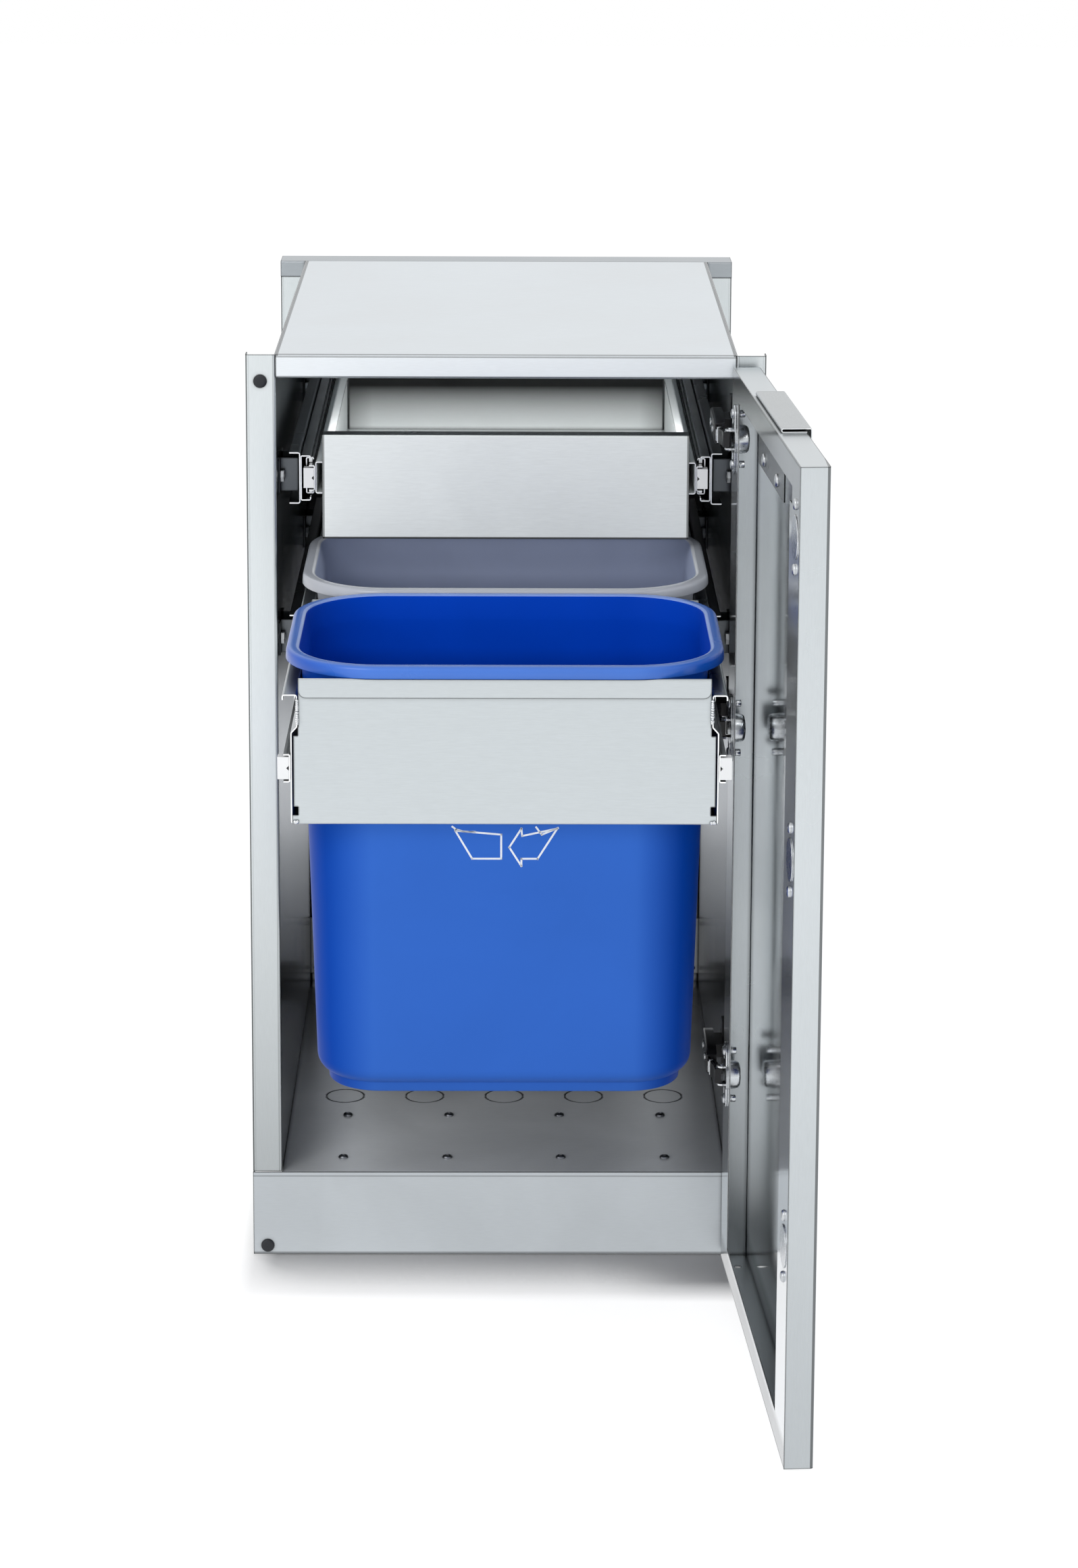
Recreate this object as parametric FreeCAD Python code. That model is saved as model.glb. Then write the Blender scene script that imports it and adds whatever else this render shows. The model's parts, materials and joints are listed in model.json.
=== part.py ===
import FreeCAD, Part
import math
import os

# Trash bin cabinet: a stainless base cabinet with a pull-out bin carrier, an inner drawer and a door.
# Millimetres. X to the right, Y into the cabinet, Z up. The origin is the front bottom centre.
# The door stands open and the carrier is pulled out: that is the rest pose.

# Case
case_width = 457.2
case_height = 835.0
case_depth = 609.6
sheet = 1.2
bend_radius = 1.5
post_width = 25.4
post_lip = 14.0
wing_depth = 38.6
base_height = 79.7
post_gap = 0.8
apron_height = 21.0
flange = 13.0
floor_lip = 20.0
back_setback = 18.0
back_flange = 14.0
rear_rail_height = 16.0
tab_width = 11.0
tab_height = 60.0
tab_rise = 8.5
rivet_spacing = 48.0
rivet_radius = 2.4
rivet_height = 1.2
knockout_radius = 18.5
knockout_pitch = 76.2
knockout_y = 202.0
knockout_count = 5
knockout_groove = 1.0
knockout_depth = 0.5
floor_screw_inner_x = 52.2
floor_screw_outer_x = 147.8
floor_screw_rows = (37.8, 149.2)
screw_head_radius = 4.4
screw_head_height = 2.4
screw_radius = 2.5
screw_length = 8.0
side_bolt_y = (60.0, 175.0)
side_bolt_drop = 30.0
side_bolt_radius = 5.0
side_bolt_height = 3.0
bumper_radius = 6.0
bumper_height = 2.2
bumper_post_drop = 23.7
bumper_base_rise = 9.0
bumper_edge = 13.0

# Runners: one pair carries the bin carrier and one pair the drawer
slide_length = 521.0
slide_inner_face = 169.0
slide_thickness = 13.0
slide_stock = 1.2
slide_bend = 1.0
outer_half_height = 20.5
outer_mouth = 4.2
outer_lip = 2.6
middle_half_height = 16.6
middle_web = 8.2
middle_mouth = 2.0
middle_lip = 1.6
inner_half_height = 11.6
inner_mouth = 5.6
race_clearance = 0.3
cage_width = 3.0
cage_length = 240.0
middle_setback = 13.0
stop_length = 10.0
stop_half_height = 9.0
stop_outer = 10.3
stop_notch = 2.0
channel_half_height = 23.3
channel_depth = 10.0
spacer_length = 32.0
spacer_foot = 14.0
spacer_height = 30.0
spacer_stock = 1.6
spacer_inset = 34.0
nut_radius = 5.5
nut_height = 4.0

# Bin carrier
carrier_front_closed = 12.0
carrier_out = 430.0
carrier_slide_z = 575.0
carrier_top = 647.8
carrier_bottom = 528.8
carrier_hem = 16.0
carrier_hem_gap = 0.2
carrier_hem_round = 6.0
carrier_shoulder = 608.0
carrier_jog = 4.5
carrier_jog_rise = 5.0
carrier_shelf_drop = 13.5
carrier_shelf = 11.2
carrier_shelf_lip = 4.0
carrier_panel_inset = 2.6
carrier_notch = 4.8
carrier_notch_height = 7.0
carrier_notch_rise = 7.5
carrier_return = 12.0
carrier_side_return = 8.0
divider_width = 24.0

# Bins
bin_width = 352.0
bin_depth = 265.0
bin_height = 361.4
bin_gap = 7.0
bin_overhang = 2.0
bin_wall = 2.4
bin_rim_height = 9.8
bin_rim_reach = 12.4
bin_rim_radius = 76.0
bin_flare = 3.4
bin_flare_height = 20.0
bin_taper = 11.8
bin_foot_inset = 9.0
bin_foot_height = 7.0
bin_bottom_round = 14.0
bin_round_steps = 3

# Drawer above the bins
drawer_front_y = 25.0
drawer_slide_y = 24.0
drawer_slide_z = 720.0
drawer_front_width = 325.5
drawer_front_bottom = 664.5
drawer_front_height = 94.5
drawer_top_return = 19.0
drawer_top_lip = 6.0
drawer_bottom_return = 12.0
drawer_half_width = 161.8
drawer_side_top = 750.0
drawer_hem = 8.0
drawer_back_top = 756.0
drawer_channel_half_height = 14.5

# Door, drawn closed and then turned open about its hinge axis
door_width = 452.0
door_bottom = 3.1
door_height = 823.4
door_thickness = 24.0
door_gap = 2.5
door_open = 93.5
hinge_axis_x = 215.85
hinge_axis_y = -19.25
hinge_side_lip = 45.0
free_side_lip = 60.0
end_lip = 24.0
relief = 14.0
hinge_high_drop = 59.5
hinge_middle_drop = 319.5
hinge_low_rise = 181.9
cup_edge = 22.5
cup_radius = 13.0
cup_depth = 12.0
cup_wall = 1.4
cup_clearance = 0.2
cup_plate_width = 19.0
cup_plate_height = 61.0
cup_plate_stock = 1.6
cup_screw_offset = 22.5
cup_screw_length = 8.5
blank_radius = 17.5
blank_stock = 1.0
blank_screw_offset = 26.0
drain_radius = 3.0
drain_edge = 30.0
handle_length = 170.0
handle_stock = 1.0
handle_bend = 1.3
handle_leaf_gap = 1.9
handle_setback = 3.5
handle_drop = 22.0
handle_stand_off = 3.2
bracket_width = 14.0
bracket_setback = 6.0
bracket_drop = 57.0
bracket_screw_spacing = 86.0
bracket_screw_rise = 10.0

# Hinge parts on the right wall
mount_length = 42.0
mount_height = 50.0
mount_stock = 2.4
mount_y = 48.0
saddle_height = 17.0
saddle_length = 34.0
saddle_depth = 7.0
arm_height = 24.0
arm_length = 44.0
arm_depth = 9.4
arm_front_y = -4.0
nose_height = 14.0
nose_stock = 6.0
nose_bend = 9.0
nose_shift = 4.2
nose_neck_y = -10.0
nose_end_y = -37.0
link_clearance = 0.3
link_stock = 2.0
link_width = 10.0
link_reach = 9.0

# How round shapes are drawn in chords
bend_chords = 3
small_round = 6.0
small_chords = 10
large_chords = 20
bin_chords = 8

overrun = 2.0
least_run = 0.001

# Derived places
half_sheet = sheet / 2
wall_outer = case_width / 2 - post_width
wall_inner = wall_outer - sheet
wing_y = case_depth - wing_depth
back_y = wing_y - back_setback
carrier_y = carrier_front_closed - carrier_out
slide_outer_face = slide_inner_face + slide_thickness
door_hinge_edge = door_width / 2
door_top = door_bottom + door_height
hinge_heights = (door_top - hinge_high_drop, door_top - hinge_middle_drop, door_bottom + hinge_low_rise)
door_inner_y = -door_gap
door_outer_y = -door_gap - door_thickness


def vec(x, y, z):
    return FreeCAD.Vector(x, y, z)


def box(x_span, y_span, z_span):
    """A block between two places along each axis."""
    size = [max(s) - min(s) for s in (x_span, y_span, z_span)]
    return Part.makeBox(size[0], size[1], size[2], vec(min(x_span), min(y_span), min(z_span)))


def ring(radius, centre, axis, sides):
    """The corners of a closed line of equal chords round an axis."""
    across = vec(0, 0, 1) if abs(axis.z) < axis.Length / 2 else vec(1, 0, 0)
    sideways = axis.cross(across).normalize()
    points = []
    for step in range(sides):
        angle = 2 * math.pi * step / sides
        points.append(centre + (across * math.cos(angle) + sideways * math.sin(angle)) * radius)
    return points


def flat(points):
    """The plane face inside a closed line of points."""
    return Part.Face(Part.makePolygon(points + points[:1]))


def skinned(rings):
    """A solid with flat faces between rings that have the same number of points."""
    faces = [flat(rings[0]), flat(rings[-1])]
    for low, high in zip(rings, rings[1:]):
        for i in range(len(low)):
            after = (i + 1) % len(low)
            faces.append(flat([low[i], low[after], high[after], high[i]]))
    shell = Part.makeShell(faces)
    shell.sewShape()
    solid = Part.Solid(shell)
    if solid.Volume < 0:
        solid.reverse()
    return solid


def chords(radius):
    return small_chords if radius < small_round else large_chords


def rod(radius, start, along):
    """A round bar from a point along a vector, with as many sides as its size needs."""
    return flat(ring(radius, start, along, chords(radius))).extrude(along)


def tapered(radii, start, along):
    """A round bar whose radius goes from the first value to the second."""
    sides = chords(max(radii))
    return skinned([ring(radii[0], start, along, sides), ring(radii[1], start + along, along, sides)])


def left_of(direction):
    return vec(-direction.y, direction.x, 0)


def turned(spoke, angle):
    cos, sin = math.cos(angle), math.sin(angle)
    return vec(spoke.x * cos - spoke.y * sin, spoke.x * sin + spoke.y * cos, 0)


def bent_line(path, shift, radius):
    """Points beside a flat path, shifted to its left, round each corner in short chords."""
    corners = [vec(p[0], p[1], 0) for p in path]
    runs = [(b - a).normalize() for a, b in zip(corners, corners[1:])]
    points = [corners[0] + left_of(runs[0]) * shift]
    for corner, before, after in zip(corners[1:], runs, runs[1:]):
        side = 1 if before.cross(after).z > 0 else -1
        angle = before.getAngle(after)
        centre = corner - before * (radius * math.tan(angle / 2)) + left_of(before) * (side * radius)
        spoke = left_of(before) * (shift - side * radius)
        for step in range(bend_chords + 1):
            point = centre + turned(spoke, side * angle * step / bend_chords)
            if points[-1].distanceToPoint(point) > least_run:
                points.append(point)
    points.append(corners[-1] + left_of(runs[-1]) * shift)
    return points


def bent(path, length, stock=sheet, radius=bend_radius):
    """Sheet of one thickness bent along a path in the XY plane, drawn out along Z."""
    left = bent_line(path, stock / 2, radius)
    right = bent_line(path, -stock / 2, radius)
    outline = left + right[::-1] + left[:1]
    return Part.Face(Part.makePolygon(outline)).extrude(vec(0, 0, length))


def bent_plan(path, z_span, **sizes):
    """A bent profile seen from above, between two heights."""
    return bent(path, z_span[1] - z_span[0], **sizes).translated(vec(0, 0, z_span[0]))


def bent_front(path, y_span, **sizes):
    """A bent profile of X and Z seen from the front, between two depths."""
    solid = bent(path, y_span[1] - y_span[0], **sizes)
    solid.rotate(vec(0, 0, 0), vec(1, 0, 0), 90)
    return solid.translated(vec(0, y_span[1], 0))


def bent_side(path, x_span, **sizes):
    """A bent profile of Y and Z seen from the side, between two places across."""
    solid = bent(path, x_span[1] - x_span[0], **sizes)
    solid.rotate(vec(0, 0, 0), vec(1, 1, 1), 120)
    return solid.translated(vec(x_span[0], 0, 0))


def mirrored(shape):
    return shape.mirror(vec(0, 0, 0), vec(1, 0, 0))


def group(shapes):
    return Part.makeCompound(shapes)


def joined(shapes):
    first, rest = shapes[0], shapes[1:]
    return first.fuse(rest).removeSplitter()


def pan_screw(seat, outward, shank_length=screw_length):
    """A screw with a low tapered head that stands on a face."""
    head = tapered((screw_head_radius, screw_radius), seat, outward * screw_head_height)
    return head.fuse(rod(screw_radius, seat, outward * -shank_length))


def rivet(seat, outward):
    return tapered((rivet_radius, rivet_radius / 2), seat, outward * rivet_height)


def hex_nut(seat, outward):
    return flat(ring(nut_radius, seat, outward, 6)).extrude(outward * nut_height)


# Case

def side_panel():
    """Left side: front post with its lip, wall, and the rear wing, in one bent sheet."""
    edge = -case_width / 2 + half_sheet
    wall = -wall_outer + half_sheet
    path = ((edge, post_lip), (edge, half_sheet), (wall, half_sheet), (wall, wing_y + half_sheet),
            (edge, wing_y + half_sheet), (edge, case_depth))
    panel = bent_plan(path, (0, case_height))
    past_edge = -case_width / 2 - overrun
    toe = box((past_edge, 0), (-overrun, post_lip + overrun), (-overrun, base_height + post_gap))
    shoulder = box((past_edge, 0), (wing_y, case_depth + overrun),
                   (case_height - rear_rail_height, case_height + overrun))
    return panel.cut([toe, shoulder])


def floor_pan():
    front = sheet + half_sheet
    top = base_height - half_sheet
    pan = bent_side(((front, top - floor_lip), (front, top), (back_y, top)), (-wall_inner, wall_inner))
    rear = box((-wall_inner + floor_lip, wall_inner - floor_lip), (back_y - sheet, back_y),
               (base_height - sheet, base_height + floor_lip))
    cuts = []
    for number in range(knockout_count):
        x = (number - (knockout_count - 1) / 2) * knockout_pitch
        seat = vec(x, knockout_y, base_height - knockout_depth)
        ring = rod(knockout_radius, seat, vec(0, 0, overrun))
        cuts.append(ring.cut(rod(knockout_radius - knockout_groove, seat, vec(0, 0, overrun))))
    for spot in floor_screw_spots():
        cuts.append(rod(screw_radius, spot - vec(0, 0, sheet + overrun), vec(0, 0, sheet + 2 * overrun)))
    return joined([pan, rear]).cut(cuts)


def floor_screw_spots():
    xs = (-floor_screw_outer_x, -floor_screw_inner_x, floor_screw_inner_x, floor_screw_outer_x)
    return [vec(x, y, base_height) for y in floor_screw_rows for x in xs]


def back_panel():
    side = wall_inner - half_sheet
    y = back_y + half_sheet
    path = ((-side, y + back_flange), (-side, y), (side, y), (side, y + back_flange))
    return bent_plan(path, (base_height - sheet, case_height - sheet))


def top_cover():
    """Top sheet with its front apron folded down and a return folded in."""
    low = case_height - apron_height + half_sheet
    high = case_height - half_sheet
    path = ((flange, low), (half_sheet, low), (half_sheet, high), (wing_y, high))
    return bent_side(path, (-wall_inner, wall_inner))


def base_rail():
    """Toe fascia with a return under it and a lip at each end."""
    half = case_width / 2
    path = ((flange, half_sheet), (half_sheet, half_sheet), (half_sheet, base_height - sheet))
    face = bent_side(path, (-half, half))
    lips = []
    for x in (-half, half - sheet):
        lips.append(box((x, x + sheet), (half_sheet, flange), (half_sheet, base_height - sheet)))
    rail = joined([face] + lips)
    top = box((-half, half), (0, sheet), (base_height - 2 * sheet, base_height))
    return joined([rail, top])


def rear_rail():
    front = wing_y + half_sheet
    back = case_depth - half_sheet
    top = case_height - half_sheet
    low = case_height - rear_rail_height
    path = ((front, low), (front, top), (back, top), (back, low))
    return bent_side(path, (-case_width / 2, case_width / 2))


def rear_tabs():
    inner = wall_inner - tab_width
    low = base_height + tab_rise
    tab = box((-wall_inner, -inner), (back_y - sheet, back_y), (low, low + tab_height))
    return group([tab, mirrored(tab)])


def tab_rivets():
    x = -wall_inner + tab_width / 2
    middle = base_height + tab_rise + tab_height / 2
    left = []
    for z in (middle - rivet_spacing / 2, middle + rivet_spacing / 2):
        left.append(rivet(vec(x, back_y - sheet, z), vec(0, -1, 0)))
    return group(left + [mirrored(r) for r in left])


def side_bolts():
    left = []
    for y in side_bolt_y:
        seat = vec(-wall_outer, y, case_height - side_bolt_drop)
        left.append(rod(side_bolt_radius, seat, vec(-side_bolt_height, 0, 0)))
    return group(left + [mirrored(b) for b in left])


def floor_screws():
    return group([pan_screw(spot, vec(0, 0, 1)) for spot in floor_screw_spots()])


def bumpers():
    x = -case_width / 2 + bumper_edge
    pads = []
    for z in (case_height - bumper_post_drop, bumper_base_rise):
        pads.append(tapered((bumper_radius, bumper_radius - half_sheet), vec(x, 0, z), vec(0, -bumper_height, 0)))
    return group(pads)


# Runners, drawn for the right side and mirrored for the left

def outer_member(y, z):
    """The member on the cabinet: a channel with curled lips."""
    web = slide_outer_face - slide_stock / 2
    mouth = slide_inner_face + outer_mouth
    high = outer_half_height - slide_stock / 2
    path = ((mouth, z + high - outer_lip), (mouth, z + high), (web, z + high), (web, z - high),
            (mouth, z - high), (mouth, z - high + outer_lip))
    return bent_front(path, (y, y + slide_length), stock=slide_stock, radius=slide_bend)


def middle_member(y, z):
    """The member between, with a row of balls in its cage on each of its four races."""
    web = slide_inner_face + middle_web
    mouth = slide_inner_face + middle_mouth
    high = middle_half_height - slide_stock / 2
    path = ((mouth, z + high - middle_lip), (mouth, z + high), (web, z + high), (web, z - high),
            (mouth, z - high), (mouth, z - high + middle_lip))
    length = slide_length - middle_setback
    member = bent_front(path, (y, y + length), stock=slide_stock, radius=slide_bend)
    outside = (middle_half_height - slide_stock / 2, outer_half_height - slide_stock - race_clearance)
    inside = (inner_half_height + race_clearance, middle_half_height - slide_stock / 2)
    past_outer_lip = slide_inner_face + outer_mouth + slide_stock / 2 + race_clearance
    past_own_lip = mouth + slide_stock / 2 + race_clearance
    rear = (y + length - cage_length, y + length)
    front = (y, y + cage_length)
    cages = []
    for side in (-1, 1):
        for start, y_span, heights in ((past_outer_lip, rear, outside), (past_own_lip, front, inside)):
            cages.append(box((start, start + cage_width), y_span, [z + side * v for v in heights]))
    return joined([member] + cages)


def inner_member(y, z):
    """The member on the moving part: a small channel that opens outward."""
    web = slide_inner_face + slide_stock / 2
    mouth = slide_inner_face + inner_mouth
    high = inner_half_height - slide_stock / 2
    path = ((mouth, z + high), (web, z + high), (web, z - high), (mouth, z - high))
    return bent_front(path, (y, y + slide_length), stock=slide_stock, radius=slide_bend)


def slide_stop(y, z):
    """Nylon end block in the mouth of the inner member, with a notch toward its web."""
    low = slide_inner_face + slide_stock
    high = slide_inner_face + stop_outer
    block = box((low, high), (y, y + stop_length), (z - stop_half_height, z + stop_half_height))
    notch = Part.makePolygon([vec(low, y, z - stop_notch), vec(low + stop_notch, y, z),
                              vec(low, y, z + stop_notch), vec(low, y, z - stop_notch)])
    return block.cut(Part.Face(notch).extrude(vec(0, stop_length, 0)))


def runner_channel(y, z):
    """Channel on the case that the runner is screwed to, its flanges toward the wall."""
    web = slide_outer_face + half_sheet
    edge = slide_outer_face + channel_depth
    high = channel_half_height - half_sheet
    path = ((edge, z + high), (web, z + high), (web, z - high), (edge, z - high))
    return bent_front(path, (y, y + slide_length))


def spacer_places(y, z):
    ends = (y + spacer_inset, y + slide_length - spacer_inset)
    return [(end, z) for end in ends]


def wall_spacer(y, z):
    """Hat bracket that carries the channel off the wall."""
    near = slide_outer_face + sheet + spacer_stock / 2
    far = wall_inner - spacer_stock / 2
    half = spacer_length / 2
    path = ((far, y - half - spacer_foot), (far, y - half), (near, y - half), (near, y + half),
            (far, y + half), (far, y + half + spacer_foot))
    half_height = spacer_height / 2
    return bent_plan(path, (z - half_height, z + half_height), stock=spacer_stock)


def spacer_nuts(y, z):
    face = wall_inner - spacer_stock
    nuts = []
    for side in (-1, 1):
        seat = vec(face, y + side * (spacer_length / 2 + spacer_foot / 2 + half_sheet), z)
        nuts.append(hex_nut(seat, vec(-1, 0, 0)))
    return nuts


def both_sides(node, shape):
    save(node + "_right", shape)
    save(node + "_left", mirrored(shape))


def runners():
    rests = (("carrier", carrier_front_closed, carrier_out, carrier_slide_z),
             ("drawer", drawer_slide_y, 0, drawer_slide_z))
    spacers = []
    nuts = []
    for name, closed, out, z in rests:
        both_sides(name + "_channel", runner_channel(closed, z))
        both_sides(name + "_slide_outer", outer_member(closed, z))
        both_sides(name + "_slide_middle", middle_member(closed + middle_setback - out / 2, z))
        both_sides(name + "_slide_inner", inner_member(closed - out, z))
        stop = slide_stop(closed - out, z)
        save(name + "_slide_stops", group([stop, mirrored(stop)]))
        for y, height in spacer_places(closed, z):
            spacers.append(wall_spacer(y, height))
            nuts.extend(spacer_nuts(y, height))
    save("wall_spacers", group(spacers + [mirrored(s) for s in spacers]))
    save("spacer_nuts", group(nuts + [mirrored(n) for n in nuts]))


# Bin carrier

def hemmed_panel(y, facing, half_width):
    """Cross panel with a hem folded over its top and a return at its bottom."""
    leaf = y + facing * half_sheet
    plate = leaf + facing * (sheet + carrier_hem_gap)
    high = carrier_top - half_sheet
    low = carrier_bottom + half_sheet
    path = ((leaf, carrier_top - carrier_hem), (leaf, high), (plate, high), (plate, low),
            (plate + facing * carrier_return, low))
    radius = (sheet + carrier_hem_gap) / 2
    return bent_side(path, (-half_width, half_width), radius=radius)


def carrier_front():
    """Front panel of the carrier, notched beside its side plates."""
    half = slide_inner_face - sheet
    panel = hemmed_panel(carrier_y, 1, half)
    y_span = (carrier_y - overrun, carrier_y + 2 * sheet + carrier_hem_gap + overrun / 2)
    edge = half + overrun
    shoulder = (carrier_shoulder, carrier_top + overrun)
    upper = (carrier_shoulder - carrier_notch_height, carrier_shoulder)
    low = carrier_bottom + carrier_notch_rise
    lower = (low, low + carrier_notch_height)
    between = (low + carrier_notch_height, carrier_shoulder - carrier_notch_height)
    inset = half - carrier_panel_inset
    cuts = [box((inset - carrier_panel_inset, edge), y_span, shoulder),
            box((half - carrier_notch, edge), y_span, upper),
            box((half - carrier_notch, edge), y_span, lower),
            box((half - carrier_panel_inset / 2, edge), y_span, between)]
    cuts.append(carrier_hem_corner(inset - carrier_panel_inset))
    behind = (carrier_y + panel_thickness(), carrier_y + panel_thickness() + carrier_return)
    under = (carrier_bottom - overrun, carrier_bottom + 2 * sheet)
    cuts.append(box((side_return_start(), edge), behind, under))
    return panel.cut(cuts + [mirrored(c) for c in cuts])


def carrier_hem_corner(edge):
    """The bit that rounds the lower corner of the hem's front leaf."""
    y_span = (carrier_y - overrun, carrier_y + sheet + carrier_hem_gap / 2)
    low = carrier_top - carrier_hem
    square = box((edge - carrier_hem_round, edge + overrun), y_span, (low - overrun, low + carrier_hem_round))
    centre = vec(edge - carrier_hem_round, y_span[0], low + carrier_hem_round)
    return square.cut(rod(carrier_hem_round, centre, vec(0, y_span[1] - y_span[0], 0)))


def carrier_length():
    return 2 * bin_depth + bin_gap - 2 * bin_overhang


def panel_thickness():
    return 2 * sheet + carrier_hem_gap


def side_return_start():
    """Where a side plate's bottom return leaves its bend."""
    return slide_inner_face - sheet - bend_radius


def carrier_side():
    """Right side plate: hem below, a jog inward, and a shelf with a lip along its top."""
    low = carrier_bottom + half_sheet
    outer = slide_inner_face - half_sheet
    upper = outer - carrier_jog
    shelf = carrier_top - carrier_shelf_drop - half_sheet
    path = ((outer - carrier_side_return, low), (outer, low), (outer, carrier_shoulder - carrier_jog_rise),
            (upper, carrier_shoulder), (upper, shelf), (upper + carrier_shelf, shelf),
            (upper + carrier_shelf, shelf - carrier_shelf_lip))
    start = carrier_y + panel_thickness()
    end = carrier_y + carrier_length() - panel_thickness()
    plate = bent_front(path, (start, end))
    clear = carrier_return + sheet
    past = side_return_start()
    front = box((0, past), (start - overrun, start + clear), (carrier_bottom - overrun, low + sheet))
    rear = box((0, past), (end - clear, end + overrun), (carrier_bottom - overrun, low + sheet))
    return plate.cut([front, rear])


def carrier_back():
    end = carrier_y + carrier_length()
    half = slide_inner_face - carrier_jog - 2 * sheet
    panel = hemmed_panel(end, -1, half)
    return panel


def carrier_divider():
    """Channel across the carrier that the two bins' rims rest on."""
    middle = carrier_y - bin_overhang + bin_depth + bin_gap / 2
    half = divider_width / 2 - half_sheet
    high = carrier_top - half_sheet
    low = carrier_top - carrier_shelf_drop
    path = ((middle - half, low), (middle - half, high), (middle + half, high), (middle + half, low))
    reach = slide_inner_face - carrier_jog
    return bent_side(path, (-reach, reach))


# Bins

def round_rectangle(width, depth, radius, z):
    """The corners of a closed line with round corners, centred on the Z axis."""
    x, y = width / 2 - radius, depth / 2 - radius
    points = []
    for quarter, middle in enumerate((vec(x, -y, z), vec(x, y, z), vec(-x, y, z), vec(-x, -y, z))):
        for step in range(bin_chords + 1):
            angle = math.radians(90 * (quarter - 1 + step / bin_chords))
            points.append(middle + vec(math.cos(angle), math.sin(angle), 0) * radius)
    return points


def bin_ring(draw, z):
    """A level line of the bin, drawn in from the rim's outside."""
    return round_rectangle(bin_width - 2 * draw, bin_depth - 2 * draw, bin_rim_radius - draw, z)


def bin_shell(inset, floor_z, bottom_round):
    """The tapered bucket with its flare at the top, drawn in from its outside by an inset."""
    steps = []
    for step in range(bin_round_steps + 1):
        angle = math.radians(90 * step / bin_round_steps)
        steps.append((floor_z + bottom_round * (1 - math.cos(angle)), bottom_round * (1 - math.sin(angle))))
    steps.append((bin_height - bin_flare_height, 0))
    steps.append((bin_height, -bin_flare))
    rings = []
    for z, tuck in steps:
        rings.append(bin_ring(bin_rim_reach + bin_taper * (1 - z / bin_height) + tuck + inset, z))
    return skinned(rings)


def waste_bin(rear_offset):
    """A moulded bin: tapered bucket, foot, and a rolled rim with a skirt."""
    outer = bin_shell(0, bin_foot_height, bin_bottom_round)
    foot_draw = bin_rim_reach + bin_taper + bin_foot_inset
    foot = flat(bin_ring(foot_draw, 0)).extrude(vec(0, 0, bin_foot_height + bin_wall))
    rim_low = bin_height - bin_rim_height
    rim = flat(bin_ring(0, rim_low)).extrude(vec(0, 0, bin_rim_height))
    under = flat(bin_ring(bin_wall, rim_low - overrun)).extrude(vec(0, 0, bin_rim_height + overrun - bin_wall))
    body = outer.fuse([foot, rim.cut(under)])
    hollow = bin_shell(bin_wall, bin_foot_height + bin_wall, bin_bottom_round - bin_wall)
    shape = body.cut(hollow).removeSplitter()
    middle = carrier_y - bin_overhang + bin_depth / 2 + rear_offset
    return shape.translated(vec(0, middle, carrier_top - rim_low))


# Drawer

def drawer_front():
    """Front with a deep return along its top and a short one along its bottom."""
    face = drawer_front_y + half_sheet
    low = drawer_front_bottom + half_sheet
    high = drawer_front_bottom + drawer_front_height - half_sheet
    top_edge = drawer_front_y + drawer_top_return
    path = ((drawer_front_y + drawer_bottom_return, low), (face, low), (face, high),
            (top_edge, high), (top_edge, high - drawer_top_lip))
    half = drawer_front_width / 2
    return bent_side(path, (-half, half))


def drawer_box():
    """Tray with hemmed sides and a back."""
    side = drawer_half_width - half_sheet
    floor = drawer_front_bottom + sheet + half_sheet
    hem = side - drawer_hem
    high = drawer_side_top - half_sheet
    path = ((-hem, high), (-side, high), (-side, floor), (side, floor), (side, high), (hem, high))
    start = drawer_front_y + sheet + bend_radius
    end = drawer_slide_y + slide_length
    tray = bent_front(path, (start, end))
    back = box((-drawer_half_width + bend_radius + sheet, drawer_half_width - bend_radius - sheet),
               (end - sheet, end), (floor, drawer_back_top))
    return joined([tray, back])


def drawer_channel():
    """Channel between the drawer's side and its runner."""
    web = slide_inner_face - half_sheet
    high = drawer_channel_half_height - half_sheet
    z = drawer_slide_z
    path = ((drawer_half_width, z + high), (web, z + high), (web, z - high), (drawer_half_width, z - high))
    start = drawer_front_y + sheet
    return bent_front(path, (start, drawer_slide_y + slide_length))


# Door

def opened(shape):
    turned = shape.copy()
    turned.rotate(vec(hinge_axis_x, hinge_axis_y, 0), vec(0, 0, 1), door_open)
    return turned


def door_shell():
    """Outer skin folded back along its two upright edges, closed by a top and a bottom."""
    side = door_hinge_edge - half_sheet
    skin_y = door_outer_y + half_sheet
    path = ((-side, door_inner_y), (-side, skin_y), (side, skin_y), (side, door_inner_y))
    skin = bent_plan(path, (door_bottom, door_top))
    inside = door_hinge_edge - sheet
    y_span = (door_outer_y + sheet, door_inner_y)
    top = box((-inside, inside), y_span, (door_top - sheet, door_top))
    bottom = box((-inside, inside), y_span, (door_bottom, door_bottom + sheet))
    drain = rod(drain_radius, vec(door_hinge_edge - drain_edge, door_outer_y + door_thickness / 2, 0),
                vec(0, 0, door_bottom + sheet + overrun))
    return joined([skin, top, bottom.cut(drain)])


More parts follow.
